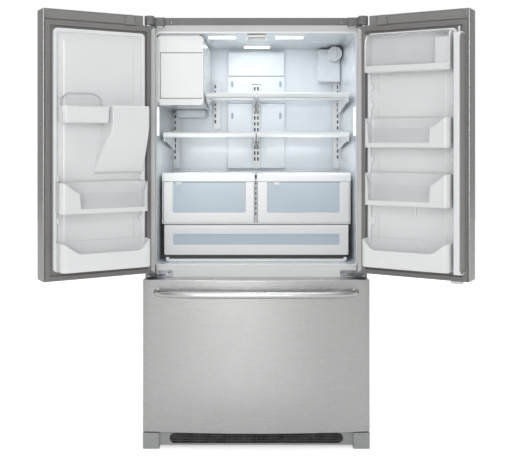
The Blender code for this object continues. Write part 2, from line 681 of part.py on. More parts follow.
# ---------------------------------------------------------------- doors
def across(side, u0, u1):
    """X pair in a door's hinge frame for two distances from its hinge edge."""
    return sorted((-side * (u0 - PIN_SIDE), -side * (u1 - PIN_SIDE)))


def inward(w0, w1):
    """Y pair in a door's hinge frame for two depths behind its inner plane."""
    return (w0 + PIN_BACK, w1 + PIN_BACK)


def door_block(name, side, u, w, z, slot, axle):
    return block(name, across(side, *u), inward(*w), z, slot, axle)


def door_plan(side, inset, back):
    """Plan outline of a door, shrunk by inset, from its curved face to a depth w."""
    corner = 0.006
    near = -DOOR_EDGE + inset
    points = [(inset, back), (inset, near + corner), (inset + corner, near - 0.001)]
    steps = 12
    last = DOOR_WIDTH - inset
    for step in range(1, steps):
        u = inset + corner + (last - inset - 2 * corner) * step / steps
        points.append((u, -DOOR_EDGE + front_y(HALF - u) + inset))
    end = -DOOR_EDGE + front_y(HALF - last) + inset
    points += [(last - corner, end), (last, end + corner), (last, back)]
    return [(-side * (u - PIN_SIDE), w + PIN_BACK) for u, w in points]


def door_panel(name, side, axle):
    """Steel pan with a curved face, open at the back, with the hinge corner cut away."""
    panel = prism(name, door_plan(side, 0, 0), "Z", (DOOR_BOTTOM, DOOR_TOP), "stainless", axle)
    z = (DOOR_BOTTOM + DOOR_SKIN, DOOR_TOP - DOOR_SKIN)
    hollow = prism(name + "_hollow", door_plan(side, DOOR_SKIN, 0.010), "Z", z, "foam", axle)
    corner = door_block(name + "_corner", side, (-0.010, NOTCH_WIDTH + DOOR_SKIN), (-0.200, 0.100),
                        (NOTCH_FLOOR - DOOR_SKIN, DOOR_TOP + 0.010), "foam", axle)
    combine(hollow, corner, "DIFFERENCE")
    combine(panel, hollow, "DIFFERENCE")
    cut(panel, across(side, -0.010, NOTCH_WIDTH), (-0.200, 0.200), (NOTCH_FLOOR, DOOR_TOP + 0.010))
    reach = PIN_RADIUS + PIN_PLAY
    for z in (DOOR_BOTTOM, NOTCH_FLOOR):
        hole = rod(name + "_pin_hole", (0, 0), reach, "Z", (z - 0.008, z + 0.008), "foam", axle)
        combine(panel, hole, "DIFFERENCE")
    return panel


def door_liner(name, side, end, axle):
    """Plate in the back of the pan, with a raised edge and a bottle retainer at the foot."""
    edge = DOOR_SKIN + GAP
    top = DOOR_TOP - edge
    liner = door_block(name, side, (edge, DOOR_WIDTH - edge), (-PLATE, 0),
                       (DOOR_BOTTOM + edge, top), "white_liner", axle)
    cut(liner, across(side, 0, NOTCH_WIDTH + edge), (-1, 1), (NOTCH_FLOOR - edge, CASE_TOP))
    raised = door_block(name + "_edge", side, (DOOR_LINER_U, end), (-PLATE / 2, DYKE),
                        (DOOR_LINER_BOTTOM, DOOR_LINER_TOP), "white_liner", axle)
    cut(raised, across(side, DOOR_LINER_U + DYKE_WIDTH, end - DYKE_WIDTH), (-1, 1),
        (DOOR_LINER_BOTTOM + DYKE_WIDTH, DOOR_LINER_TOP - DYKE_WIDTH))
    join(liner, raised)
    foot = DOOR_LINER_BOTTOM + 0.005
    span = (DOOR_LINER_U + 0.002, end - 0.008)
    retainer = door_block(name + "_retainer", side, span, (DYKE - 0.005, DYKE + BIN_DEPTH),
                          (foot, foot + RETAINER_HEIGHT), "white_liner", axle)
    cut(retainer, across(side, span[0] + BIN_WALL, span[1] - BIN_WALL),
        inward(-0.100, DYKE + BIN_DEPTH - BIN_WALL), (foot + BIN_WALL, CASE_TOP))
    shoulder = 0.060
    cut(retainer, across(side, span[0] + shoulder, span[1] - shoulder), (-1, 1),
        (foot + 0.64 * RETAINER_HEIGHT, CASE_TOP))
    return join(liner, retainer)


def door_gasket(name, side, axle):
    u = (GASKET_INSET, DOOR_WIDTH - GASKET_FREE)
    gasket = door_block(name, side, u, (GAP, GAP + GASKET_THICK), (GASKET_BOTTOM, GASKET_TOP),
                        "gasket", axle)
    return cut(gasket, across(side, u[0] + GASKET_WIDTH, u[1] - GASKET_WIDTH), (-1, 1),
               (GASKET_BOTTOM + GASKET_WIDTH, GASKET_TOP - GASKET_WIDTH))


def door_handle(name, side, axle):
    """Bow handle, upright near the free edge, with its feet on the curved face."""
    middle = DOOR_WIDTH - HANDLE_EDGE
    face = -DOOR_EDGE + front_y(HALF - middle + BAR_WIDTH / 2) - 0.0015
    height = (DOOR_BOTTOM + DOOR_TOP) / 2
    length = DOOR_TOP - DOOR_BOTTOM - 2 * HANDLE_END
    outline = [(face - out + PIN_BACK, height + along)
               for along, out in bow(length, HANDLE_REACH, BAR_THICK)]
    x = across(side, middle - BAR_WIDTH / 2, middle + BAR_WIDTH / 2)
    handle = prism(name, outline, "X", x, "stainless", axle)
    return soften(handle, 0.004, 1)


def door_bin(name, side, u, bottom, height, axle):
    """Open-topped bin that hangs on the liner's raised edges."""
    return tray(name, across(side, *u), inward(BIN_BACK, BIN_BACK + BIN_DEPTH),
                (bottom, bottom + height), BIN_WALL, "clear_plastic", axle)


def plain_door(word, side, end, frame):
    axle = axis_empty(word + "_door_axis", (side * PIN_X, PIN_Y, 0), frame, side * OPEN_ANGLE)
    panel = door_panel(word + "_door_panel", side, axle)
    door_liner(word + "_door_liner", side, end, axle)
    door_gasket(word + "_door_gasket", side, axle)
    door_handle(word + "_door_handle", side, axle)
    return axle, panel


def dispenser(side, panel, axle):
    """Recess lined by a bezel box in the outer face, with a paddle hung inside it."""
    face = -DOOR_EDGE + front_y(HALF - sum(DISPENSER_U) / 2)
    bottom, top = DUCT_BASE, CHUTE_TOP + DISPENSER_RISE
    opening = across(side, *DISPENSER_U)
    cut(panel, opening, (-0.300, face + DISPENSER_DEPTH / 2 + PIN_BACK), (bottom, top))
    u = (DISPENSER_U[0] + GAP, DISPENSER_U[1] - GAP)
    z = (bottom + GAP, top - GAP)
    bezel = door_block("dispenser_bezel", side, u, (face - 0.004, face + DISPENSER_DEPTH), z,
                       "dark_plastic", axle)
    wall = 0.004
    ceiling = z[1] - DISPLAY_HEIGHT
    cut(bezel, across(side, u[0] + wall, u[1] - wall),
        (-0.300, face + DISPENSER_DEPTH - wall + PIN_BACK), (z[0] + wall, ceiling))
    pivot = Vector((-side * (sum(DISPENSER_U) / 2 - PIN_SIDE), face + 0.040 + PIN_BACK,
                    ceiling - 0.012))
    swing = axis_empty("dispenser_paddle_axis", pivot, axle)
    length = (ceiling - z[0] - wall) / 2 - 0.003
    blade = [(-0.003, 0.008), (0.003, 0.008), (-0.012, -length), (-0.017, 0.003 - length)]
    paddle = prism("dispenser_paddle", blade, "X", (-PADDLE_WIDTH / 2, PADDLE_WIDTH / 2),
                   "dark_plastic", swing)
    soften(paddle, 0.001, 1)
    tall = CHUTE_TOP - DUCT_BASE
    profile = [(GAP, CHUTE_TOP), (DOOR_REACH, CHUTE_TOP), (DOOR_REACH, CHUTE_TOP - 0.31 * tall),
               (0.070, DUCT_BASE + 0.34 * tall), (0.035, DUCT_BASE + 0.06 * tall), (GAP, DUCT_BASE)]
    span = across(side, BIN_START + GAP, BIN_START + DUCT_WIDTH)
    duct = prism("dispenser_duct", [(w + PIN_BACK, z) for w, z in profile], "X", span,
                 "white_liner", axle)
    soften(duct, 0.010, 2)


def caddy(side, axle):
    """Small bin beside the dispenser duct, and the wire bail folded up behind it."""
    u = (CADDY_START, LEFT_LINER_END - DYKE_WIDTH)
    door_bin("caddy_bin", side, u, CADDY_TOP - CADDY_HEIGHT, CADDY_HEIGHT, axle)
    pivot = (-side * (sum(u) / 2 - PIN_SIDE), DYKE - BAIL_RADIUS + PIN_BACK,
             CADDY_TOP + BAIL_RADIUS + 0.0015)
    swing = axis_empty("caddy_bail_axis", pivot, axle)
    half, corner = (u[1] - u[0]) / 2 - 0.014, 0.026
    side_top = BAIL_HEIGHT - corner
    points = [(-half + 0.006, 0), (-half, 0), (-half, side_top), (-half + corner, BAIL_HEIGHT),
              (half - corner, BAIL_HEIGHT), (half, side_top), (half, 0), (half - 0.006, 0)]
    curve = bpy.data.curves.new("caddy_bail", "CURVE")
    curve.dimensions = "3D"
    curve.bevel_depth = BAIL_RADIUS
    curve.bevel_resolution = 2
    curve.use_fill_caps = True
    spline = curve.splines.new("POLY")
    spline.points.add(len(points) - 1)
    for point, (x, z) in zip(spline.points, points):
        point.co = (x, 0, z, 1)
    bail = bpy.data.objects.new("caddy_bail", curve)
    bpy.context.collection.objects.link(bail)
    curve.materials.append(finish("wire"))
    bail.parent = swing


def left_door(frame):
    side = -1
    axle, panel = plain_door("left", side, LEFT_LINER_END, frame)
    dispenser(side, panel, axle)
    caddy(side, axle)
    door_bin("left_door_bin", side, (BIN_START, LEFT_LINER_END - 0.005), LEFT_BIN_BOTTOM,
             LEFT_BIN_HEIGHT, axle)


def dairy(side, axle):
    """Box with an open front under a cover that flips up about its top edge."""
    u, z = RIGHT_BIN_U, (DAIRY_TOP - DAIRY_HEIGHT, DAIRY_TOP)
    front = DOOR_REACH - DAIRY_SHY
    box = door_block("dairy_bin", side, u, (BIN_BACK, front), z, "clear_plastic", axle)
    cut(box, across(side, u[0] + BIN_WALL, u[1] - BIN_WALL), inward(BIN_BACK + BIN_WALL, 0.200),
        (z[0] + BIN_WALL, z[1] - BIN_WALL))
    lip = door_block("dairy_lip", side, u, (front - BIN_WALL, front), (z[0], z[0] + DAIRY_LIP),
                     "clear_plastic", axle)
    join(box, lip)
    pivot = (-side * ((u[0] + u[1]) / 2 - PIN_SIDE), front + 0.003 + PIN_BACK, z[1] - 0.004)
    swing = axis_empty("dairy_cover_axis", pivot, axle)
    half = (u[1] - u[0]) / 2
    cover = block("dairy_cover", (-half, half), (-0.0015, 0.0015), (DAIRY_LIP - DAIRY_HEIGHT + 0.004, 0.002),
                  "clear_plastic", swing)
    soften(cover, 0.0005, 1)


def mullion(side, axle):
    """Flipper bar on the right door that bridges the gap behind both doors when shut."""
    near = GAP + GASKET_THICK + MULLION_PLAY
    pivot = (-side * (DOOR_WIDTH - MULLION_INSET - PIVOT_IN - PIN_SIDE),
             near + PIVOT_IN + PIN_BACK, 0)
    swing = axis_empty("mullion_axis", pivot, axle)
    x = sorted((-side * PIVOT_IN, side * (MULLION_THICK - PIVOT_IN)))
    y = (-PIVOT_IN, MULLION_WIDTH - PIVOT_IN)
    top = FRIDGE_TOP - 0.042
    bar = block("door_mullion", x, y, (FRIDGE_FLOOR + 0.014, top), "grey_paint", swing)
    soften(bar, 0.004, 2)
    middle = (sum(x) / 2, sum(y) / 2)
    join(bar, rod("mullion_pin", middle, MULLION_PIN, "Z", (top - 0.010, FRIDGE_TOP - 0.018),
                  "grey_paint", swing, 16))


def right_door(frame):
    side = 1
    axle = plain_door("right", side, RIGHT_LINER_END, frame)[0]
    dairy(side, axle)
    door_bin("upper_door_bin", side, RIGHT_BIN_U, UPPER_BIN_BOTTOM, UPPER_BIN_HEIGHT, axle)
    door_bin("lower_door_bin", side, RIGHT_BIN_U, LOWER_BIN_BOTTOM, LOWER_BIN_HEIGHT, axle)
    mullion(side, axle)


# ---------------------------------------------------------------- freezer drawer
def drawer_plan(inset, back):
    steps = 20
    half = HALF - inset
    front = DOOR_PLANE - DOOR_EDGE + inset
    points = [(-half, back)]
    for step in range(steps + 1):
        x = -half + 2 * half * step / steps
        points.append((x, front + front_y(x)))
    return points + [(half, back)]


def freezer_drawer(frame):
    z = (DRAWER_BOTTOM, DRAWER_TOP)
    panel = prism("freezer_drawer_panel", drawer_plan(0, DOOR_PLANE), "Z", z, "stainless", frame)
    hollow = prism("drawer_hollow", drawer_plan(DOOR_SKIN, 0.010), "Z",
                   (z[0] + DOOR_SKIN, z[1] - DOOR_SKIN), "foam", frame)
    combine(panel, hollow, "DIFFERENCE")
    edge = HALF - DOOR_SKIN - GAP
    liner = block("freezer_drawer_liner", (-edge, edge), (DOOR_PLANE - PLATE, DOOR_PLANE),
                  (z[0] + DOOR_SKIN + GAP, z[1] - DOOR_SKIN - GAP), "white_liner", frame)
    raised = LINER_HALF - 0.020
    foot = FREEZER_FLOOR + 0.020
    join(liner, block("drawer_raised", (-raised, raised), (DOOR_PLANE - PLATE / 2, 0.004),
                      (foot, RAIL_BOTTOM - 0.020), "white_liner", frame))
    cut(liner, (-raised + 0.020, raised - 0.020), (-0.008, 0.100), (foot + 0.020, RAIL_BOTTOM - 0.040))
    seal = HALF - GASKET_INSET
    top = DRAWER_TOP - 0.006
    bottom = DRAWER_BOTTOM + 0.006
    gasket = block("freezer_gasket", (-seal, seal),
                   (DOOR_PLANE + GAP, DOOR_PLANE + GAP + GASKET_THICK), (bottom, top),
                   "gasket", frame)
    inner = seal - GASKET_WIDTH
    cut(gasket, (-inner, inner), (-1, 1), (bottom + GASKET_WIDTH, top - GASKET_WIDTH))


def freezer_handle(frame):
    foot_x = HALF - DRAWER_HANDLE_SIDE
    face = DOOR_PLANE - DOOR_EDGE + front_y(foot_x - 2 * BAR_THICK) - 0.0015
    outline = [(along, face - out)
               for along, out in bow(2 * foot_x, DRAWER_HANDLE_REACH, BAR_THICK, 24)]
    middle = DRAWER_TOP - DRAWER_HANDLE_DROP
    z = (middle - BAR_WIDTH / 2, middle + BAR_WIDTH / 2)
    soften(prism("freezer_handle", outline, "Z", z, "stainless", frame), 0.004, 1)


def baskets(frame):
    x = (-BASKET_HALF, BASKET_HALF)
    tray("lower_basket", x, (0.006, BASKET_BACK), LOWER_BASKET, BIN_WALL, "white_liner", frame)
    tray("upper_basket", x, (UPPER_BASKET_FRONT, BASKET_BACK), UPPER_BASKET, BIN_WALL,
         "white_liner", frame)


# ---------------------------------------------------------------- whole object
def centre_under(frame):
    """Move the cabinet frame so that the origin is under the middle of everything."""
    bpy.context.view_layer.update()
    graph = bpy.context.evaluated_depsgraph_get()
    corners = []
    for obj in bpy.context.scene.objects:
        if obj.type == "EMPTY" or obj.hide_render:
            continue
        shape = obj.evaluated_get(graph)
        mesh = shape.to_mesh()
        corners += [shape.matrix_world @ vert.co for vert in mesh.vertices]
        shape.to_mesh_clear()
    for axis in (0, 1):
        values = [corner[axis] for corner in corners]
        frame.location[axis] = -(min(values) + max(values)) / 2


def build():
    for obj in list(bpy.data.objects):
        bpy.data.objects.remove(obj, do_unlink=True)
    frame = axis_empty("cabinet_frame", (0, 0, 0))
    for make in (cabinet_shell, cabinet_core, liners, centre_rail, machine_bay, base_grille, feet,
                 rear_rollers, hinge_sets, mullion_guide, air_duct, tracks, shelves,
                 crisper_frame, crispers, ice_maker, water_filter, left_door, right_door,
                 freezer_drawer, freezer_handle, baskets):
        make(frame)
    centre_under(frame)


build()
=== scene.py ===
import bpy
import bmesh
import json
import math
from mathutils import Matrix, Vector


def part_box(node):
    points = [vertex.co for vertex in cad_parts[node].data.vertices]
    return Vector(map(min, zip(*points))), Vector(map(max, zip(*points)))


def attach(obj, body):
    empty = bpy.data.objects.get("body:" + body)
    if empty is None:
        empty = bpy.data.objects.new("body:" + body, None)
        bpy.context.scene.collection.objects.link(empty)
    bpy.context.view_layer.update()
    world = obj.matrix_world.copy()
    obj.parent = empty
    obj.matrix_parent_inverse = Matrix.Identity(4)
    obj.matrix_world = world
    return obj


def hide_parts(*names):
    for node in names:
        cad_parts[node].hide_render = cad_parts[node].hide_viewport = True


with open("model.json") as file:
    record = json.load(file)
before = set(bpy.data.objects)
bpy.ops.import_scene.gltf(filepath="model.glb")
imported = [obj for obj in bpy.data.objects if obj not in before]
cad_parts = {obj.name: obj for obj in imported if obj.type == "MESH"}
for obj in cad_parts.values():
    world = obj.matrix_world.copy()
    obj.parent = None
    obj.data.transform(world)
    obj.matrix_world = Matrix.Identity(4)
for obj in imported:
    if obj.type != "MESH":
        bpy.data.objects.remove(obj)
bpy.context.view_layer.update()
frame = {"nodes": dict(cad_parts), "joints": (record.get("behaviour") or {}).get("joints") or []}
joints = {joint["name"]: joint for joint in frame["joints"]}
caseLow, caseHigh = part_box("cabinet_shell")
half = caseHigh.x
frontY = caseLow.y
caseTop = caseHigh.z
axisIndex = {"x": 0, "y": 1, "z": 2}
tiny = 1e-5  # slack when faces and edges are picked by place
print("frame loaded:", len(frame["nodes"]), "nodes")


# shapes
def soften(bm, edges, radius, steps=2):
    bmesh.ops.bevel(bm, geom=list(edges), offset=radius, segments=steps, profile=0.5,
                    affect="EDGES", clamp_overlap=True, material=-1)


def creases(bm, limit=32):
    return [e for e in bm.edges if e.is_manifold and e.calc_face_angle(0) > math.radians(limit)]


def border(low, high, wide):
    # the two rectangles of a frame that is one width all round
    return (low, high), ((low[0] + wide, low[1] + wide), (high[0] - wide, high[1] - wide))


def outward(bm):
    bmesh.ops.recalc_face_normals(bm, faces=bm.faces)


def runsAlong(edge, axes):
    way = edge.verts[1].co - edge.verts[0].co
    return max("xyz", key=lambda a: abs(way[axisIndex[a]])) in axes


def block(low, high, radius=0.0, steps=2, along="xyz"):
    bm = bmesh.new()
    middle = Vector([(a + b) / 2 for a, b in zip(low, high)])
    size = Vector([b - a for a, b in zip(low, high)])
    bmesh.ops.create_cube(bm, size=1.0, matrix=Matrix.LocRotScale(middle, None, size))
    if radius:
        soften(bm, [e for e in bm.edges if runsAlong(e, along)], radius, steps)
    return bm


def spot(axis, point, level):
    # a flat point stood up: (y, z) across x, (x, z) across y, (x, y) across z
    order = {"x": (2, 0, 1), "y": (0, 2, 1), "z": (0, 1, 2)}[axis]
    values = (point[0], point[1], level)
    return Vector([values[i] for i in order])


def newVerts(grown):
    return [g for g in grown["geom"] if isinstance(g, bmesh.types.BMVert)]


def push(bm, faces, axis, start, end):
    verts = newVerts(bmesh.ops.extrude_face_region(bm, geom=faces))
    bmesh.ops.translate(bm, vec=spot(axis, (0, 0), end - start), verts=verts)
    outward(bm)


def lifted(bm, faces):
    # extrudes faces in place, drops the old ones and gives the new verts
    verts = newVerts(bmesh.ops.extrude_face_region(bm, geom=faces))
    bmesh.ops.delete(bm, geom=[f for f in faces if f.is_valid], context="FACES")
    return verts


def sunken(bm, way, *steps):
    # the largest face that looks one way, stepped in by (border, depth) pairs
    way = Vector(way)
    face = max((f for f in bm.faces if f.normal.dot(way) > 0.99), key=lambda f: f.calc_area())
    for border, deep in steps:
        bmesh.ops.inset_region(bm, faces=[face], thickness=border, depth=deep)


def frontCreases(bm, level, limit=32):
    # sharp edges that lie in front of a level
    return [e for e in creases(bm, limit) if max(v.co.y for v in e.verts) < level]


def roundCorners(bm, verts, radius, steps=4):
    if radius:
        bmesh.ops.bevel(bm, geom=list(verts), offset=radius, segments=steps, profile=0.5,
                        affect="VERTICES", clamp_overlap=True, material=-1)


def slab(outline, axis, start, end, corner=0.0, radius=0.0, steps=2, only=None):
    bm = bmesh.new()
    verts = [bm.verts.new(spot(axis, p, start)) for p in outline]
    bm.faces.new(verts)
    roundCorners(bm, [v for i, v in enumerate(verts) if only is None or i in only], corner)
    push(bm, list(bm.faces), axis, start, end)
    if radius:
        soften(bm, creases(bm), radius, steps)
    return bm


def rectangle(low, high):
    return [(low[0], low[1]), (high[0], low[1]), (high[0], high[1]), (low[0], high[1])]


def ring(outer, inner, axis, start, end, corners=(0.0, 0.0), radius=0.0, steps=2):
    # a flat frame: outer and inner are (low, high) pairs across the axis
    bm = bmesh.new()
    for (low, high), corner, lift in zip((outer, inner), corners, (0.0, 0.001)):
        verts = [bm.verts.new(spot(axis, p, start + lift)) for p in rectangle(low, high)]
        bm.faces.new(verts)
        roundCorners(bm, verts, max(corner, 0.0004), 5)
    bmesh.ops.delete(bm, geom=list(bm.faces), context="FACES_ONLY")
    bmesh.ops.bridge_loops(bm, edges=list(bm.edges))
    for v in bm.verts:
        v.co[axisIndex[axis]] = start
    push(bm, list(bm.faces), axis, start, end)
    if radius:
        soften(bm, creases(bm), radius, steps)
    return bm


def cylinder(axis, centre, radius, start, end, sides=32, edge=0.0, top=None):
    bm = bmesh.new()
    turn = {"x": Matrix.Rotation(math.pi / 2, 4, "Y"), "y": Matrix.Rotation(-math.pi / 2, 4, "X"),
            "z": Matrix.Identity(4)}[axis]
    place = Matrix.Translation(spot(axis, centre, (start + end) / 2)) @ turn
    bmesh.ops.create_cone(bm, cap_ends=True, segments=sides, radius1=radius,
                          radius2=radius if top is None else top, depth=abs(end - start), matrix=place)
    if edge:
        soften(bm, creases(bm, 60), edge)
    return bm


def screw(axis, centre, radius, start, end):
    # domed head with a hexagon socket
    bm = cylinder(axis, centre, radius, start, end, 24, radius * 0.3)
    sunken(bm, spot(axis, (0, 0), math.copysign(1, end - start)), (radius * 0.35, -abs(end - start) * 0.4))
    return bm


def cutAt(bm, axis, levels):
    way = spot(axis, (0, 0), 1)
    for level in levels:
        bmesh.ops.bisect_plane(bm, geom=list(bm.verts) + list(bm.edges) + list(bm.faces),
                               plane_co=way * level, plane_no=way, dist=1e-7)


def drop(bm, test):
    faces = [f for f in bm.faces if test(f.calc_center_median(), f.normal)]
    bmesh.ops.delete(bm, geom=faces, context="FACES")


def thicken(bm, wall):
    outward(bm)
    bmesh.ops.solidify(bm, geom=list(bm.faces), thickness=wall)


def tray(low, high, wall, corner=0.012, taper=0.0, lip=0.0):
    # an open box with rounded upright corners and a rolled lip
    bm = block(low, high)
    for v in bm.verts:
        if v.co.z < (low[2] + high[2]) / 2:
            v.co.x -= math.copysign(taper, v.co.x - (low[0] + high[0]) / 2)
    soften(bm, [e for e in bm.edges if runsAlong(e, "z")], corner, 4)
    soften(bm, [e for e in bm.edges if max(v.co.z for v in e.verts) < low[2] + tiny], corner / 2, 3)
    drop(bm, lambda c, n: c.z > high[2] - 1e-6)
    thicken(bm, wall)
    if lip:
        rim = ring(*border(low[:2], high[:2], wall), "z", high[2] - lip, high[2],
                   (corner, corner - wall / 2), wall * 0.35)
        bm = gather(bm, rim)
    return bm


def scoop(low, high, wall, rim, corner=0.016, pitch=0.012, floor=True):
    # an open bin whose rim follows a height rule: rim(u, w) gives z
    bm = bmesh.new()
    verts = [bm.verts.new(spot("z", p, low[2])) for p in rectangle(low[:2], high[:2])]
    bm.faces.new(verts)
    roundCorners(bm, verts[2:], corner, 6)
    for edge in [e for e in bm.edges if e.calc_length() > 0.012]:
        bmesh.ops.subdivide_edges(bm, edges=[edge], cuts=max(1, int(edge.calc_length() / pitch)))
    foot = list(bm.edges)
    base = list(bm.faces)
    grown = bmesh.ops.extrude_edge_only(bm, edges=foot)
    for v in newVerts(grown):
        v.co.z = rim(v.co.x, v.co.y)
    outward(bm)
    if floor:
        soften(bm, [e for e in foot if e.is_valid], min(0.005, corner / 3), 3)
    else:
        bmesh.ops.delete(bm, geom=base, context="FACES_ONLY")
    thicken(bm, wall)
    return bm


def dish(low, high, axis, profile, corner):
    # a formed pan: rounded loops stepped inwards by (inset, level), the last one filled
    bm = bmesh.new()
    rings, caps = [], []
    for inset, level in profile:
        knownEdges, knownFaces = set(bm.edges), set(bm.faces)
        verts = [bm.verts.new(spot(axis, p, level)) for p in
                 rectangle((low[0] + inset, low[1] + inset), (high[0] - inset, high[1] - inset))]
        bm.faces.new(verts)
        roundCorners(bm, verts, max(corner - inset * 0.6, 0.004), 6)
        rings.append([e for e in bm.edges if e not in knownEdges])
        caps += [f for f in bm.faces if f not in knownFaces]
    bmesh.ops.delete(bm, geom=caps[1:-1], context="FACES_ONLY")
    for first, second in zip(rings, rings[1:]):
        bmesh.ops.bridge_loops(bm, edges=first + second)
    outward(bm)
    return bm


def gather(*parts):
    whole = bmesh.new()
    for part in parts:
        holder = bpy.data.meshes.new("holder")
        part.to_mesh(holder)
        part.free()
        whole.from_mesh(holder)
        bpy.data.meshes.remove(holder)
    return whole


def mirrored(bm):
    # the same shape on the other side of the middle plane
    twin = bm.copy()
    bmesh.ops.scale(twin, vec=(-1, 1, 1), verts=twin.verts)
    bmesh.ops.reverse_faces(twin, faces=twin.faces)
    return twin


def both(bm):
    twin = mirrored(bm)
    return gather(bm, twin)


def bar(points, radius, bend=0.0, sides=10, widths=None, flat=(1, 1, 1)):
    # a round bar along a path, its corners turned with arcs
    path = []
    for i, point in enumerate(points):
        point = Vector(point)
        if i in (0, len(points) - 1) or not bend:
            path.append(point)
            continue
        before, after = Vector(points[i - 1]), Vector(points[i + 1])
        reach = min(bend, (point - before).length * 0.45, (point - after).length * 0.45)
        a, b = [point + (other - point).normalized() * reach for other in (before, after)]
        path += [a.lerp(point, t).lerp(point.lerp(b, t), t) for t in (0, 0.2, 0.4, 0.6, 0.8, 1)]
    curve = bpy.data.curves.new("path", "CURVE")
    curve.dimensions = "3D"
    curve.bevel_depth = radius
    curve.bevel_resolution = max(0, sides // 2 - 2)
    curve.use_fill_caps = True
    spline = curve.splines.new("POLY")
    spline.points.add(len(path) - 1)
    for i, (knot, point) in enumerate(zip(spline.points, path)):
        knot.co = (*point, 1)
        knot.radius = widths(i / (len(path) - 1)) if widths else 1.0
    holder = bpy.data.objects.new("path", curve)
    bpy.context.scene.collection.objects.link(holder)
    bpy.context.view_layer.update()
    mesh = bpy.data.meshes.new_from_object(holder.evaluated_get(bpy.context.evaluated_depsgraph_get()))
    bm = bmesh.new()
    bm.from_mesh(mesh)
    bpy.data.objects.remove(holder)
    bpy.data.curves.remove(curve)
    bpy.data.meshes.remove(mesh)
    bmesh.ops.remove_doubles(bm, verts=bm.verts, dist=1e-6)
    outward(bm)
    centre = sum(path, Vector()) / len(path)
    bmesh.ops.scale(bm, vec=flat, space=Matrix.Translation(-centre), verts=bm.verts)
    return bm


def copied(node, radius, merge=8):
    # a CAD solid welded, cleaned and given soft edges
    bm = bmesh.new()
    bm.from_mesh(frame["nodes"][node].data)
    bmesh.ops.remove_doubles(bm, verts=bm.verts, dist=tiny)
    bmesh.ops.dissolve_limit(bm, angle_limit=math.radians(merge), verts=bm.verts, edges=bm.edges)
    outward(bm)
    soften(bm, creases(bm, 40), radius)
    return bm


def piece(name, bm, finish, body, stands=(), place=None, angle=34):
    if place is not None:
        bmesh.ops.transform(bm, matrix=place, verts=bm.verts)
        if place.determinant() < 0:
            bmesh.ops.reverse_faces(bm, faces=bm.faces)
    mesh = bpy.data.meshes.new(name)
    bm.to_mesh(mesh)
    bm.free()
    mesh.shade_smooth()
    mesh.set_sharp_from_angle(angle=math.radians(angle))
    obj = bpy.data.objects.new(name, mesh)
    bpy.context.scene.collection.objects.link(obj)
    mesh.materials.append(finishes[finish])
    even = obj.modifiers.new("evenShading", "WEIGHTED_NORMAL")
    even.keep_sharp = True
    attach(obj, body)
    if stands:
        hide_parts(*([stands] if isinstance(stands, str) else stands))
    return obj


def fixed(name, bm, finish, stands=()):
    return piece(name, bm, finish, "cabinet", stands, None)


def hung(word, name, bm, finish, stands=(), body=None, angle=34):
    # a piece drawn in a door's own u, w and z
    return piece(name, bm, finish, body or word + "_door", stands, doorPlaces[word], angle)


# shared shader groups
def newGroup(name, inputs, outputs):
    # a node group, its input and output sockets, and the object's own coordinates
    tree = bpy.data.node_groups.new(name, "ShaderNodeTree")
    for label, kind, value in inputs:
        socket = tree.interface.new_socket(label, in_out="INPUT", socket_type=kind)
        socket.default_value = value
    for label in outputs:
        tree.interface.new_socket(label, in_out="OUTPUT", socket_type="NodeSocketFloat")
    where = addNode(tree, "TexCoord").outputs["Object"]
    return tree, tree.nodes.new("NodeGroupInput").outputs, tree.nodes.new("NodeGroupOutput").inputs, where


def addNode(tree, kind):
    return tree.nodes.new("ShaderNode" + kind)


def wire(tree, source, target):
    tree.links.new(source, target)


def setPlain(node, values):
    for label, value in values.items():
        node.inputs[label].default_value = value


def noise(tree, vector, scale, detail=3.0, rough=0.5):
    node = addNode(tree, "TexNoise")
    setPlain(node, {"Detail": detail, "Roughness": rough})
    if isinstance(scale, (int, float)):
        node.inputs["Scale"].default_value = scale
    else:
        wire(tree, scale, node.inputs["Scale"])
    wire(tree, vector, node.inputs["Vector"])
    return node.outputs["Fac"]


def remap(tree, value, low, high, start=0.0, end=1.0):
    node = addNode(tree, "MapRange")
    setPlain(node, {"From Min": low, "From Max": high, "To Min": start, "To Max": end})
    wire(tree, value, node.inputs["Value"])
    return node.outputs["Result"]


def reckon(tree, operation, a, b):
    node = addNode(tree, "Math")
    node.operation = operation
    for socket, value in zip(node.inputs, (a, b)):
        if isinstance(value, (int, float)):
            socket.default_value = value
        else:
            wire(tree, value, socket)
    return node.outputs[0]


def grainGroup():
    # drawn lines of a brushed sheet: Scale is stretched across the lines
    tree, given, made, where = newGroup("brushedGrain", [("Scale", "NodeSocketVector", (6, 6, 1200))],
                                 ["Lines", "Patches"])
    stretch = addNode(tree, "VectorMath")
    stretch.operation = "MULTIPLY"
    wire(tree, where, stretch.inputs[0])
    wire(tree, given["Scale"], stretch.inputs[1])
    lines = noise(tree, stretch.outputs[0], 1.0, 3.0, 0.6)
    wire(tree, lines, made["Lines"])
    wire(tree, noise(tree, where, 3.2, 2.0), made["Patches"])
    return tree


def mouldGroup():
    # moulded or sprayed skin: fine grain, and broad uneven patches
    tree, given, made, where = newGroup("mouldedSkin", [("Grain", "NodeSocketFloat", 900.0),
                                                 ("Patch", "NodeSocketFloat", 4.0)], ["Grain", "Patches"])
    cells = addNode(tree, "TexVoronoi")
    wire(tree, where, cells.inputs["Vector"])
    wire(tree, given["Grain"], cells.inputs["Scale"])
    fine = noise(tree, where, given["Grain"], 2.0)
    wire(tree, reckon(tree, "ADD", cells.outputs["Distance"], fine), made["Grain"])
    wire(tree, noise(tree, where, given["Patch"], 4.0), made["Patches"])
    return tree


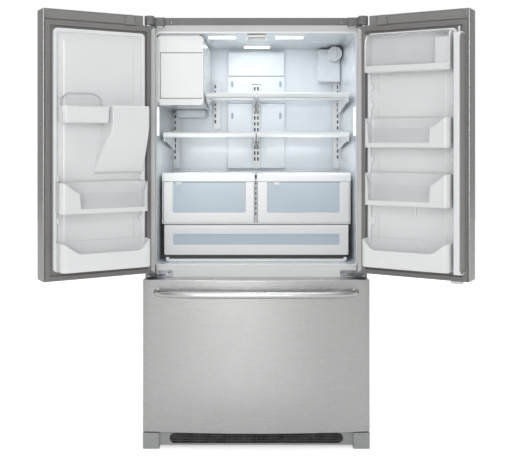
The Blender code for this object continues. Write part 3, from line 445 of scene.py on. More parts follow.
def dustGroup():
    # settled dust on what faces up
    tree, given, made, where = newGroup("settledDust", [("Amount", "NodeSocketFloat", 0.2)], ["Dust"])
    split = addNode(tree, "SeparateXYZ")
    wire(tree, addNode(tree, "NewGeometry").outputs["Normal"], split.inputs[0])
    up = remap(tree, split.outputs["Z"], 0.4, 1.0)
    cloud = remap(tree, noise(tree, where, 38.0, 5.0, 0.65), 0.35, 0.75)
    wire(tree, reckon(tree, "MULTIPLY", reckon(tree, "MULTIPLY", up, cloud), given["Amount"]), made["Dust"])
    return tree


def touchGroup():
    # smears left by hands, for gloss to break up
    tree, given, made, where = newGroup("handMarks", [("Scale", "NodeSocketFloat", 9.0)], ["Marks"])
    wire(tree, remap(tree, noise(tree, where, given["Scale"], 6.0, 0.7), 0.42, 0.72), made["Marks"])
    return tree


grain, mould, dust, touch = grainGroup(), mouldGroup(), dustGroup(), touchGroup()

# finishes
# sheet metal: colour, roughness, grain scale, tint, bump
metalFinishes = {
    "stainless": ((0.53, 0.53, 0.527), (0.25, 0.3), (2.5, 2.5, 1300), 0.03, 0.008),
    "handleSteel": ((0.64, 0.64, 0.63), (0.2, 0.28), (5, 5, 1500), 0.04, 0.03),
    "uprightSteel": ((0.64, 0.64, 0.63), (0.2, 0.28), (1500, 1500, 5), 0.04, 0.03),
    "zinc": ((0.62, 0.63, 0.64), (0.24, 0.42), (60, 60, 60), 0.12, 0.04),
    "bracketSteel": ((0.3, 0.315, 0.34), (0.22, 0.38), (60, 60, 60), 0.12, 0.04),
}
# moulded or painted: colour, second colour, roughness, grain, bump, dust, coat, alpha
mouldedFinishes = {
    # windowPane: a tinted drawer window, pale and part opaque; its colour also paints the light of the lit
    # drawer behind it
    "windowPane": ((0.66, 0.75, 0.83), (0.62, 0.72, 0.8), (0.16, 0.26), 300, 0.04, 0.0, 0.0, 0.68),
    "ventShade": ((0.4, 0.47, 0.54), (0.36, 0.43, 0.5), (0.4, 0.5), 900, 0.02, 0.0),
    "doorGrey": ((0.262, 0.258, 0.252), (0.235, 0.231, 0.226), (0.38, 0.5), 1300, 0.08, 0.1),
    "flangeGrey": ((0.62, 0.622, 0.625), (0.59, 0.592, 0.598), (0.34, 0.46), 1400, 0.05, 0.06),
    "fasciaGrey": ((0.175, 0.175, 0.175), (0.16, 0.16, 0.16), (0.34, 0.46), 1400, 0.05, 0.1),
    "railGrey": ((0.82, 0.825, 0.83), (0.79, 0.797, 0.8), (0.32, 0.42), 1400, 0.05, 0.06),
    "casePaint": ((0.225, 0.226, 0.228), (0.205, 0.206, 0.209), (0.42, 0.55), 420, 0.35, 0.35),
    "kickGrey": ((0.36, 0.365, 0.367), (0.33, 0.335, 0.338), (0.36, 0.48), 1200, 0.06, 0.3),
    "linerWhite": ((0.84, 0.85, 0.855), (0.815, 0.827, 0.834), (0.2, 0.3), 700, 0.03, 0.0, 0.25),
    "coolWhite": ((0.83, 0.875, 0.905), (0.81, 0.858, 0.89), (0.2, 0.3), 700, 0.03, 0.0, 0.25),
    "trimWhite": ((0.8, 0.808, 0.812), (0.775, 0.785, 0.79), (0.16, 0.24), 1100, 0.02, 0.0, 0.35),
    "gasketGrey": ((0.235, 0.225, 0.218), (0.205, 0.197, 0.192), (0.48, 0.62), 600, 0.12, 0.15),
    # dark finish: the real colour of dark plastic parts, and painted shade on the deli gap strip and the sheet
    # behind the kick grille
    "darkPlasticAndPaintedShade": ((0.03, 0.032, 0.035), (0.045, 0.047, 0.05), (0.35, 0.5), 900, 0.15, 0.25),
    "louvreGrey": ((0.075, 0.076, 0.078), (0.06, 0.061, 0.063), (0.35, 0.5), 900, 0.12, 0.35),
    "slotShadow": ((0.055, 0.075, 0.1), (0.04, 0.055, 0.075), (0.5, 0.6), 900, 0.05, 0.0),
    "blackPaint": ((0.018, 0.018, 0.019), (0.028, 0.027, 0.027), (0.32, 0.48), 500, 0.2, 0.4),
    "foam": ((0.7, 0.62, 0.36), (0.62, 0.53, 0.28), (0.85, 0.95), 260, 0.8, 0.1),
    "whiteWire": ((0.62, 0.64, 0.67), (0.58, 0.6, 0.63), (0.22, 0.32), 1500, 0.03, 0.0, 0.3),
    "displayGlass": ((0.01, 0.011, 0.013), (0.014, 0.015, 0.018), (0.05, 0.12), 60, 0.0, 0.05, 1.0),
}
clearFinishes = {
    "clearPlastic": ((0.985, 0.992, 1.0), (0.02, 0.06), 0.97),
    "shelfGlass": ((0.955, 0.985, 0.995), (0.01, 0.04), 0.96),
}
lampFinishes = {"lampLens": ((1.0, 1.0, 1.0), 1.6), "markGlow": ((0.75, 0.88, 1.0), 0.9)}
finishKinds = {
    "brushed": (metalFinishes, ("colour", "rough", "scale", "tint", "bump")),
    "moulded": (mouldedFinishes, ("colour", "second", "rough", "grain", "bump", "dust", "coat", "alpha")),
    "clear": (clearFinishes, ("colour", "rough", "pass")),
    "lamp": (lampFinishes, ("colour", "strength")),
}


def placeGroup(tree, group, values):
    node = addNode(tree, "Group")
    node.node_tree = group
    setPlain(node, values)
    return node.outputs


def blendColour(tree, mask, first, second):
    node = addNode(tree, "Mix")
    node.data_type = "RGBA"
    wire(tree, mask, node.inputs["Factor"])
    for label, colour in (("A", first), ("B", second)):
        socket = [s for s in node.inputs if s.name == label and s.type == "RGBA"][0]
        if isinstance(colour, tuple):
            socket.default_value = (*colour, 1.0)
        else:
            wire(tree, colour, socket)
    return [s for s in node.outputs if s.type == "RGBA"][0]


def addBump(tree, shader, height, strength, distance=0.0004):
    node = addNode(tree, "Bump")
    setPlain(node, {"Strength": strength, "Distance": distance})
    wire(tree, height, node.inputs["Height"])
    wire(tree, node.outputs["Normal"], shader.inputs["Normal"])


def makeFinish(name, kind, spec):
    material = bpy.data.materials.new(name)
    material.use_nodes = True
    tree = material.node_tree
    shader = tree.nodes["Principled BSDF"]
    colour, rough = spec["colour"], spec.get("rough", (0.4, 0.5))
    darker = tuple(c * (1 - spec.get("tint", 0.05)) for c in colour)
    marks = placeGroup(tree, touch, {"Scale": 9.0})["Marks"]
    if kind == "brushed":
        made = placeGroup(tree, grain, {"Scale": spec["scale"]})
        lines = remap(tree, made["Lines"], 0.3, 0.7)
        mix = reckon(tree, "ADD", reckon(tree, "MULTIPLY", lines, 0.7),
                     reckon(tree, "MULTIPLY", made["Patches"], 0.3))
        wire(tree, blendColour(tree, mix, darker, colour), shader.inputs["Base Color"])
        gloss = reckon(tree, "ADD", reckon(tree, "MULTIPLY", lines, 0.6),
                       reckon(tree, "MULTIPLY", marks, 0.4))
        wire(tree, remap(tree, gloss, 0, 1, *rough), shader.inputs["Roughness"])
        setPlain(shader, {"Metallic": 1.0})
        addBump(tree, shader, made["Lines"], spec["bump"], 0.0002)
    elif kind == "moulded":
        made = placeGroup(tree, mould, {"Grain": float(spec["grain"]), "Patch": 4.0})
        patches = remap(tree, made["Patches"], 0.35, 0.65)
        base = blendColour(tree, patches, colour, spec["second"])
        if spec.get("dust"):
            layer = placeGroup(tree, dust, {"Amount": spec["dust"]})["Dust"]
            base = blendColour(tree, layer, base, (0.52, 0.5, 0.47))
        wire(tree, base, shader.inputs["Base Color"])
        gloss = reckon(tree, "ADD", reckon(tree, "MULTIPLY", made["Patches"], 0.5),
                       reckon(tree, "MULTIPLY", marks, 0.5))
        wire(tree, remap(tree, gloss, 0.1, 0.8, *rough), shader.inputs["Roughness"])
        setPlain(shader, {"Coat Weight": spec.get("coat", 0.0), "Alpha": spec.get("alpha", 1.0),
                          "Coat Roughness": 0.08})
        if spec["bump"]:
            addBump(tree, shader, made["Grain"], spec["bump"])
    elif kind == "clear":
        made = placeGroup(tree, mould, {"Grain": 160.0, "Patch": 5.0})
        wire(tree, blendColour(tree, made["Patches"], colour, darker), shader.inputs["Base Color"])
        wire(tree, remap(tree, marks, 0, 1, *rough), shader.inputs["Roughness"])
        setPlain(shader, {"Transmission Weight": 1.0, "IOR": 1.46})
        # shadows pass through, so what is behind stays light
        light = addNode(tree, "LightPath")
        through = addNode(tree, "BsdfTransparent")
        mixer = addNode(tree, "MixShader")
        share = reckon(tree, "MULTIPLY", reckon(tree, "MAXIMUM", light.outputs["Is Shadow Ray"],
                                                light.outputs["Is Diffuse Ray"]), spec["pass"])
        wire(tree, share, mixer.inputs[0])
        wire(tree, shader.outputs[0], mixer.inputs[1])
        wire(tree, through.outputs[0], mixer.inputs[2])
        wire(tree, mixer.outputs[0], tree.nodes["Material Output"].inputs["Surface"])
    else:
        made = placeGroup(tree, mould, {"Grain": 260.0, "Patch": 12.0})
        glow = remap(tree, made["Patches"], 0.2, 0.8, 0.9, 1.0)
        dim = tuple(c * 0.86 for c in colour)
        wire(tree, blendColour(tree, glow, dim, colour), shader.inputs["Emission Color"])
        setPlain(shader, {"Base Color": (*colour, 1.0), "Emission Strength": spec["strength"],
                          "Roughness": 0.3})
    return material


# the material slot that a piece of each finish takes
finishes = {}
for kind, (rows, labels) in finishKinds.items():
    for name, row in rows.items():
        finishes[name] = makeFinish(name, kind, dict(zip(labels, row)))
print("finishes made:", len(finishes))


def repaint(node, finish):
    # a CAD solid that keeps its shape
    mesh = frame["nodes"][node].data
    mesh.materials.clear()
    mesh.materials.append(finishes[finish])
    for face in mesh.polygons:
        face.material_index = 0


def depth(y):
    # a depth behind the cabinet's front flange
    return frontY + y


# cabinet
case = {"edge": 0.0016, "sheet": 0.0008, "bayTop": 0.33, "bayHalf": half - 0.054, "bayDepth": 0.2,
        "backFlange": 0.016, "backStep": 0.0007, "flangeTop": caseTop - 0.0312, "foot": 0.031,
        "sill": 0.103, "flange": (-0.0003, 0.0009), "screwX": (0.43, 0.15),
        "screwZ": (0.36, 0.8, 1.25, 1.7), "screw": 0.0045}
linerLow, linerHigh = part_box("fridge_liner")
openHalf, openTop, openFloor = linerHigh.x, linerHigh.z, linerLow.z


def buildCase():
    bm = block(caseLow, caseHigh, case["edge"])
    bayFront = caseHigh.y - case["bayDepth"]
    cutAt(bm, "z", [case["bayTop"]])
    cutAt(bm, "x", [-case["bayHalf"], case["bayHalf"]])
    cutAt(bm, "y", [bayFront])
    rear = [f for f in bm.faces if f.normal.y > 0.99 and f.calc_center_median().z > case["bayTop"]]
    bmesh.ops.inset_region(bm, faces=rear, thickness=case["backFlange"], depth=-case["backStep"])
    drop(bm, lambda c, n: n.y < -0.9)
    drop(bm, lambda c, n: abs(c.x) < case["bayHalf"] and c.z < case["bayTop"] and c.y > bayFront)
    thicken(bm, case["sheet"])
    fixed("case_skin", bm, "casePaint", "cabinet_shell")
    repaint("cabinet_core", "foam")
    wide, lift, foot = half - case["edge"], case["flangeTop"], case["foot"]
    face, behind = [depth(y) for y in case["flange"]]
    outline = [(-wide, foot), (-openHalf, foot), (-openHalf, openTop), (openHalf, openTop),
               (openHalf, foot), (wide, foot), (wide, lift), (-wide, lift)]
    flange = slab(outline, "y", face, behind, 0.0, 0.0003)
    ridge = both(block((0.1, depth(-0.0008), lift - 0.017), (openHalf - 0.01, depth(0), lift - 0.014),
                       0.0004))
    fixed("front_flange", gather(flange, ridge), "flangeGrey")
    band = block((-wide, depth(-0.001), lift + 0.0006), (wide, behind, caseTop - case["edge"]), 0.0004)
    fixed("top_fascia", band, "fasciaGrey")
    sill = block((-openHalf + 0.0005, face, foot), (openHalf - 0.0005, behind, case["sill"]), 0.0003)
    fixed("freezer_sill", sill, "doorGrey")
    heads = [both(screw("y", (x, z), case["screw"], caseHigh.y - 0.0009, caseHigh.y - 0.0001))
             for z in case["screwZ"] for x in case["screwX"]]
    fixed("back_screws", gather(*heads), "zinc")


buildCase()

railLow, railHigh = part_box("centre_rail")
rail = {"round": 0.004}


def buildRail():
    face = block((railLow.x, depth(0.0002), railLow.z), (railHigh.x, railHigh.y, railHigh.z - 0.001),
                 rail["round"], 3)
    bead = block((railLow.x + 0.004, depth(-0.0006), railLow.z + 0.01),
                 (railHigh.x - 0.004, depth(0.004), railLow.z + 0.0125), 0.0008)
    fixed("centre_rail_cover", gather(face, bead), "railGrey", "centre_rail")


buildRail()

# liners
liner = {"corner": 0.014, "draft": 0.012, "wall": 0.0015, "lip": 0.004}


def cavity(low, high, draft, corner):
    bm = block(low, high)
    for v in bm.verts:
        if v.co.y > (low[1] + high[1]) / 2:
            v.co.x -= math.copysign(draft, v.co.x)
    soften(bm, [e for e in bm.edges if max(v.co.y for v in e.verts) > high[1] - 1e-4], corner, 4)
    drop(bm, lambda c, n: c.y < low[1] + tiny)
    outward(bm)
    thicken(bm, -liner["wall"])
    bmesh.ops.reverse_faces(bm, faces=bm.faces)
    return bm


def lipRing(z0, z1):
    edge = openHalf - liner["wall"] - 0.0006
    return ring(((-edge - 0.0045, z0 - 0.0045), (edge + 0.0045, z1 + 0.0045)),
                ((-edge + liner["lip"], z0 + liner["lip"]), (edge - liner["lip"], z1 - liner["lip"])),
                "y", depth(-0.0008), depth(0.0055), (0.012, 0.014), 0.002, 3)


def buildLiners():
    wall = liner["wall"]
    space = cavity((-openHalf + wall, linerLow.y, openFloor + wall),
                   (openHalf - wall, linerHigh.y - wall, openTop - wall), liner["draft"], liner["corner"])
    fixed("fridge_interior", space, "coolWhite", "fridge_liner")
    low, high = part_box("freezer_liner")
    space = cavity((low.x + wall, low.y, low.z + wall), (high.x - wall, high.y - wall, high.z - wall),
                   0.0, 0.01)
    fixed("freezer_interior", space, "coolWhite", "freezer_liner")
    top = lipRing(openFloor + wall, openTop - wall)
    fixed("fridge_lip", top, "linerWhite")
    # a raised floor behind the front lip, under the deli drawer
    shelfFloor = block((-0.372, depth(0.085), openFloor + 0.001), (0.372, depth(0.54), openFloor + 0.014),
                       0.006, 3)
    pads = both(block((0.366, depth(0.09), openFloor + 0.004), (0.38, depth(0.11), openFloor + 0.021),
                      0.003))
    fixed("fridge_floor_step", gather(shelfFloor, pads), "linerWhite")


buildLiners()


# each ceiling lens is its two ends across and its depth
lamps = {"ceiling": ((-0.205, -0.088, 0.161), (0.082, 0.201, 0.161), (-0.058, 0.064, 0.511)),
         "halfDeep": 0.014, "sideY": (0.064, 0.08), "sideZ": (1.256, 1.374), "proud": 0.003}


def buildLamps():
    lenses = [block((x0, depth(y - lamps["halfDeep"]), openTop - 0.0065),
                    (x1, depth(y + lamps["halfDeep"]), openTop - 0.001), 0.004, 3) for x0, x1,
              y in lamps["ceiling"]]
    fixed("ceiling_lamps", gather(*lenses), "lampLens")
    side = openHalf - liner["wall"] - liner["draft"] * 0.12
    (y0, y1), (z0, z1) = lamps["sideY"], lamps["sideZ"]
    strips = both(block((side - lamps["proud"], depth(y0), z0), (side + 0.001, depth(y1), z1), 0.0014))
    fixed("side_lamps", strips, "lampLens")


buildLamps()
print("cabinet done")

# duct tower, tracks
ductLow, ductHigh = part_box("air_duct_cover")
tower = {"round": 0.005, "seams": (1.543, 1.4145), "ventHalf": 0.115, "ventHigh": 0.027, "ventRim": 0.0022,
         "vents": (1.3409, 1.4919)}


def buildTower():
    front, back = ductLow.y, ductHigh.y
    channelX, channelTop = 0.0206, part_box("centre_track")[1].z + 0.002
    lower, upper = tower["seams"][1], tower["seams"][0]
    r = tower["round"]
    panels = [block((ductLow.x, front, upper + 0.001), (ductHigh.x, back, ductHigh.z), r, 3)]
    outline = [(ductLow.x, lower + 0.001), (-channelX, lower + 0.001), (-channelX, channelTop),
               (channelX, channelTop), (channelX, lower + 0.001), (ductHigh.x, lower + 0.001),
               (ductHigh.x, upper - 0.001), (ductLow.x, upper - 0.001)]
    panels.append(slab(outline, "y", front, back, 0.0, 0.0014))
    panels.append(both(block((channelX, front, ductLow.z), (ductHigh.x, back, lower - 0.001), 0.0016)))
    # arched outlet at the top
    panels.append(block((-0.11, front - 0.004, ductHigh.z - 0.012),
                        (0.11, front + 0.004, ductHigh.z - 0.006), 0.002, 3))
    fixed("duct_tower", gather(*panels), "coolWhite", "air_duct_cover")
    frames, backs = [], []
    for z in tower["vents"]:
        low, high = (tower["ventHalf"] - 0.005, z), (tower["ventHalf"] + 0.005, z + tower["ventHigh"])
        outer, _ = border(low, high, -tower["ventRim"])[::-1]
        frames.append(both(ring(outer, (low, high), "y", front - 0.0016, front + 0.001, (0.004, 0.003),
                                0.0005)))
        backs.append(both(block((low[0], front - 0.0004, low[1]), (high[0], front + 0.001, high[1]))))
    fixed("duct_vent_frames", gather(*frames), "coolWhite")
    fixed("duct_vent_shadows", gather(*backs), "ventShade")


def ladder(xLow, xHigh, front, back, z0, z1, columns, pitch=0.028, slotHigh=0.0165, slotWide=0.007):
    # a slotted steel track: uprights, rungs between the slots, and a channel behind them painted dark as the
    # shade seen through the slots
    parts, edges = [], [xLow]
    for x in columns:
        edges += [x - slotWide / 2, x + slotWide / 2]
    edges.append(xHigh)
    for a, b in zip(edges[0::2], edges[1::2]):
        parts.append(block((a, front, z0), (b, front + 0.004, z1), 0.0006))
    rows = int((z1 - z0 - 0.02) / pitch)
    for x in columns:
        a, b = x - slotWide / 2 - 0.0005, x + slotWide / 2 + 0.0005
        top = z1 - 0.0005
        for row in range(rows + 1):
            slotTop = z1 - 0.02 - pitch * row + slotHigh / 2 if row < rows else z0
            parts.append(block((a, front + 0.0003, max(slotTop, z0)), (b, front + 0.0037, top)))
            top = slotTop - slotHigh
    slotShade = block((xLow + 0.001, front + 0.0055, z0 + 0.001), (xHigh - 0.001, back, z1 - 0.001))
    return gather(*parts), slotShade


# the left track is drawn to the foot of the ice maker, and a short one stands beside it
trackPlaces = {"leftTop": 1.37, "leftWide": 0.033, "short": (-0.206, -0.172, 1.29, 1.515), "slotIn": 0.009}


def buildTracks():
    tracks, slotShades = [], []
    low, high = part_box("centre_track")
    rows = [(low.x, high.x, low.y, high.y, low.z, high.z, (-0.0075, 0.0075))]
    low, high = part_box("right_track")
    rows.append((low.x, high.x, low.y, high.y, low.z, high.z, (high.x - trackPlaces["slotIn"],)))
    side = -openHalf + liner["wall"] + liner["draft"] + 0.0006
    rows.append((side, side + trackPlaces["leftWide"], low.y, high.y, low.z, trackPlaces["leftTop"],
                 (side + trackPlaces["slotIn"],)))
    x0, x1, z0, z1 = trackPlaces["short"]
    rows.append((x0, x1, low.y + 0.004, high.y, z0, z1, (x0 + trackPlaces["slotIn"],)))
    for row in rows:
        front, back = ladder(*row)
        tracks.append(front)
        slotShades.append(back)
    fixed("shelf_tracks", gather(*tracks), "trimWhite", ("centre_track", "right_track"))
    fixed("track_slot_shadows", gather(*slotShades), "slotShadow")


buildTower()
buildTracks()

# shelves
shelf = {"rimHigh": 0.024, "rimDeep": 0.02, "rimRound": 0.0095, "glass": 0.004, "side": 0.009, "arm": 0.075}
hookX = {"upper_shelf_left": (-0.197, -0.0075), "upper_shelf_right": (0.0075, 0.3907),
         "lower_shelf_left": (None, -0.0075), "lower_shelf_right": (0.0075, 0.3907)}


def buildShelf(node):
    low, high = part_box(node)
    top = high.z
    front = block((low.x, low.y, top - shelf["rimHigh"]), (high.x, low.y + shelf["rimDeep"], top),
                  shelf["rimRound"], 4, "x")
    soften(front, creases(front, 60), 0.0015)
    parts = [front]
    for a, b in ((low.x, low.x + shelf["side"]), (high.x - shelf["side"], high.x)):
        parts.append(block((a, low.y + 0.012, top - 0.015), (b, high.y, top), 0.0028, 3))
    parts.append(block((low.x, high.y - 0.01, top - 0.013), (high.x, high.y, top), 0.003, 3))
    arm = [(low.y + 0.016, top - 0.01), (high.y - 0.002, top - 0.01), (high.y - 0.002, top - shelf["arm"]),
           (high.y - 0.06, top - shelf["arm"]), (low.y + 0.09, top - 0.042), (low.y + 0.016, top - 0.042)]
    for a in (low.x + 0.0012, high.x - 0.0052):
        parts.append(slab(arm, "x", a, a + 0.004, 0.01, 0.0008))
    for x in hookX[node]:
        if x is not None:
            for z in (top - 0.022, top - 0.06):
                parts.append(block((x - 0.0022, high.y - 0.004, z - 0.005),
                                   (x + 0.0022, high.y + 0.0125, z + 0.004), 0.0012))
    fixed(node + "_rim", gather(*parts), "trimWhite", node)
    pane = block((low.x + 0.005, low.y + 0.008, top - 0.0012 - shelf["glass"]),
                 (high.x - 0.005, high.y - 0.006, top - 0.0012), 0.0006)
    fixed(node + "_glass", pane, "shelfGlass")


for shelfNode in hookX:
    buildShelf(shelfNode)
print("shelves done")

# crispers and deli drawer
frameLow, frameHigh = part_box("crisper_frame")
crisper = {"trim": 0.037, "wall": 0.006, "glass": 0.005, "postHalf": 0.0045, "postSet": 0.022,
           "frontThick": 0.01, "corner": 0.006, "pane": 0.003}
windowSpans = {"left_crisper": (-0.352, -0.045, 0.931), "right_crisper": (0.046, 0.351, 0.931),
               "deli_drawer": (-0.35, 0.35, 0.796)}


def trimBar(x0, x1, front, z0, z1):
    # a glossy rail with a rolled top edge
    back = front + 0.03
    profile = [(back, z1), (front + 0.004, z1), (front, z1 - 0.01), (front, z0), (front + 0.005, z0),
               (front + 0.006, z1 - 0.014), (back, z1 - 0.006)]
    bm = slab(profile, "x", x0, x1, 0.0015)
    soften(bm, [e for e in creases(bm, 24) if runsAlong(e, "x")
                and min(v.co.z for v in e.verts) > z1 - 0.012
                and max(v.co.y for v in e.verts) < front + 0.006], 0.004, 4)
    return bm


def buildCrisperFrame():
    low, high = frameLow, frameHigh
    under, gap = high.z - crisper["trim"], crisper["postHalf"]
    bars = [trimBar(low.x, -gap - 0.002, low.y, under, high.z), trimBar(gap - 0.002, high.x, low.y, under,
                                                                        high.z)]
    wall = crisper["wall"]
    cheeks = both(block((high.x - wall, low.y + 0.004, low.z), (high.x, high.y, high.z - 0.006), 0.0025))
    base = block((low.x, low.y + 0.004, low.z), (high.x, high.y, low.z + wall), 0.002)
    rear = block((low.x, high.y - 0.012, high.z - 0.014), (high.x, high.y, high.z - 0.0002), 0.003)
    ribs = both(block((high.x - 0.014, low.y + 0.03, high.z - 0.013),
                      (high.x - 0.001, high.y - 0.01, high.z - 0.0062), 0.002))
    fixed("crisper_housing", gather(*bars, cheeks, base, rear, ribs), "trimWhite", "crisper_frame")
    glass = block((low.x + 0.004, low.y + 0.02, high.z - 0.0062),
                  (high.x - 0.004, high.y - 0.01, high.z - 0.0012), 0.0007)
    fixed("crisper_glass", glass, "shelfGlass")
    front, slotShade = ladder(-0.0075, 0.0035, low.y + crisper["postSet"], high.y - 0.02, low.z + 0.006,
                           under + 0.012, (-0.002,), 0.0215, 0.0125, 0.0042)
    fixed("crisper_post", front, "coolWhite")
    fixed("crisper_post_shadow", slotShade, "slotShadow")


def openFrame(x0, x1, z0, z1, window, front, thick):
    # a drawer front with its window open at the top
    a, b, sill = window
    outline = [(x0, z0), (x1, z0), (x1, z1), (b, z1), (b, sill), (a, sill), (a, z1), (x0, z1)]
    bm = slab(outline, "y", front, front + thick, 0.006, 0.0, only=(0, 1, 4, 5))
    soften(bm, frontCreases(bm, front + tiny), 0.0018)
    return bm


# a pale pane over a drawer window, whose colour also paints the light inside the drawer
def windowPane(node, front, top):
    a, b, sill = windowSpans[node]
    return block((a - 0.004, front + 0.0045, sill - 0.004), (b + 0.004, front + 0.0075, top), 0.0008)


def buildCrisper(node, body):
    low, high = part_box(node)
    a, b, sill = windowSpans[node]
    front = openFrame(low.x, high.x, low.z, high.z, (a, b, sill), low.y, crisper["frontThick"])
    piece(node + "_front", front, "trimWhite", body, node)
    pane = windowPane(node, low.y, high.z - 0.002)
    tub = tray((low.x + 0.003, low.y + crisper["frontThick"] + 0.0003, low.z + 0.001),
               (high.x - 0.003, high.y, high.z - 0.004), crisper["pane"], 0.016, 0.004)
    lip = ring(((low.x + 0.001, low.y + 0.0105), (high.x - 0.001, high.y)),
               ((low.x + 0.007, low.y + 0.0165), (high.x - 0.007, high.y - 0.006)), "z",
               high.z - 0.0065, high.z - 0.003, (0.016, 0.012), 0.0012)
    piece(node + "_pane", pane, "windowPane", body)
    piece(node + "_tray", gather(tub, lip), "clearPlastic", body)


def buildSlider(node, body):
    low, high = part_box(node)
    knob = block((low.x, low.y + 0.0002, low.z), (high.x, high.y, high.z), 0.002, 3)
    ribs = [block((low.x + 0.005 + 0.0045 * i, low.y, low.z + 0.002),
                  (low.x + 0.0065 + 0.0045 * i, low.y + 0.002, high.z - 0.002), 0.0005, 1)
            for i in range(4)]
    piece(node + "_knob", gather(knob, *ribs), "railGrey", body, node)


def buildDeli():
    low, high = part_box("deli_drawer")
    a, b, sill = windowSpans["deli_drawer"]
    head = 0.844
    topBar = trimBar(low.x, high.x, low.y, head, high.z)
    front = ring(((low.x, low.z), (high.x, head + 0.002)), ((a, sill), (b, 0.841)), "y", low.y + 0.0006,
                 low.y + crisper["frontThick"], (0.004, 0.005), 0.0012)
    piece("deli_drawer_front", gather(topBar, front), "trimWhite", "deli", "deli_drawer")
    pane = windowPane("deli_drawer", low.y, head + 0.001)
    tub = tray((low.x + 0.006, low.y + 0.0305, low.z + 0.001), (high.x - 0.006, high.y, high.z - 0.008),
               crisper["pane"], 0.016, 0.005)
    piece("deli_drawer_pane", pane, "windowPane", "deli")
    piece("deli_drawer_tray", tub, "clearPlastic", "deli")
    # a dark strip below the deli drawer front: painted shadow for the shaded gap under it
    gap = block((-0.365, low.y + 0.006, openFloor + 0.0145), (0.365, low.y + 0.011, low.z - 0.0008), 0.0006)
    fixed("deli_gap_painted_shadow", gap, "darkPlasticAndPaintedShade")


buildCrisperFrame()
for side in ("left", "right"):
    buildCrisper(side + "_crisper", "crisper_" + side)
for side in ("left", "right"):
    buildSlider(side + "_humidity_slider", "slider_" + side)
buildDeli()
print("drawers done")

# ice maker and filter
iceLow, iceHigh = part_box("ice_maker_housing")
binLow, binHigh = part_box("ice_bin")
ice = {"corner": 0.014, "wall": 0.0045, "cheek": 0.016, "panel": 0.0175, "lipHigh": 0.0265,
       "grip": (-0.372, -0.268), "augerTurn": 0.9, "augerSteps": 46, "augerPitch": 0.0085, "auger": 0.03}


def draftIn(bm, amount=0.0117):
    # the liner leans in towards the back, and the housing with it
    reach = iceHigh.y - iceLow.y
    for v in bm.verts:
        if v.co.x < (iceLow.x + iceHigh.x) / 2:
            v.co.x += amount * (v.co.y - iceLow.y) / reach
    return bm


def buildIceMaker():
    low, high = iceLow.copy(), iceHigh
    low.x += 0.0006
    shell = block(low, high)
    soften(shell, [e for e in shell.edges if runsAlong(e, "y")], ice["corner"], 5)
    drop(shell, lambda c, n: n.y < -0.9)
    thicken(shell, ice["wall"])
    draftIn(shell)
    seam = binHigh.z + 0.001
    front, back = low.y, low.y + ice["panel"]
    head = slab([(low.x + 0.001, seam), (high.x - 0.0005, seam), (high.x - 0.0005, high.z - 0.0005),
                 (low.x + 0.001, high.z - 0.0005)], "y", front, back + 0.1, ice["corner"] - 0.001, 0.0, 3,
                only=(2, 3))
    soften(head, frontCreases(head, front + tiny), 0.004, 4)
    cheek = block((low.x + 0.001, front + 0.0004, low.z + ice["lipHigh"] - 0.004),
                  (-openHalf + liner["wall"] + ice["cheek"], back, seam + 0.002), 0.001)
    collar = block((low.x + 0.004, front + 0.012, high.z - 0.006),
                   (high.x - 0.016, high.y, openTop - 0.0015), 0.003)
    lip = slab([(low.x + 0.001, low.z + ice["lipHigh"]), (low.x + 0.001, low.z + 0.014),
                (low.x + 0.02, low.z + 0.0005), (high.x - 0.014, low.z + 0.0005),
                (high.x - 0.0005, low.z + 0.012), (high.x - 0.0005, low.z + ice["lipHigh"])], "y", front,
               back + 0.02, 0.004, 0.0, 3)
    soften(lip, frontCreases(lip, front + tiny), 0.006, 4)
    grip = block((ice["grip"][0], front - 0.0012, low.z + 0.011),
                 (ice["grip"][1], front + 0.002, low.z + 0.021), 0.003, 3)
    fixed("ice_housing", gather(shell, head, cheek, collar, lip, grip), "linerWhite", "ice_maker_housing")
    box = block((-0.376, depth(0.5), low.z - 0.04), (-0.236, depth(0.585), low.z - 0.0003), 0.008, 3)
    fixed("ice_duct_box", box, "coolWhite")


def buildIceBin():
    low, high = binLow, binHigh
    frontBack = low.y + ice["panel"] - 0.0006
    left = -openHalf + liner["wall"] + ice["cheek"] + 0.001
    face = block((left, low.y, low.z + 0.0086), (high.x, frontBack, high.z), 0.0035, 3)
    sunken(face, (0, -1, 0), (0.004, -0.0006))
    pan = tray((low.x + 0.0185, frontBack - 0.001, low.z + 0.001), (high.x - 0.008, high.y, high.z - 0.02),
               0.003, 0.012, 0.006, 0.003)
    wide, turn = ice["auger"], ice["augerTurn"]
    coil = [(-0.318 + wide * math.cos(t * turn), low.y + 0.05 + ice["augerPitch"] * t,
             low.z + 0.062 + wide * math.sin(t * turn)) for t in range(ice["augerSteps"])]
    piece("ice_bin_panel", gather(face, pan), "trimWhite", "ice_drawer", "ice_bin")
    piece("ice_auger", bar(coil, 0.003, 0, 8), "zinc", "ice_drawer")


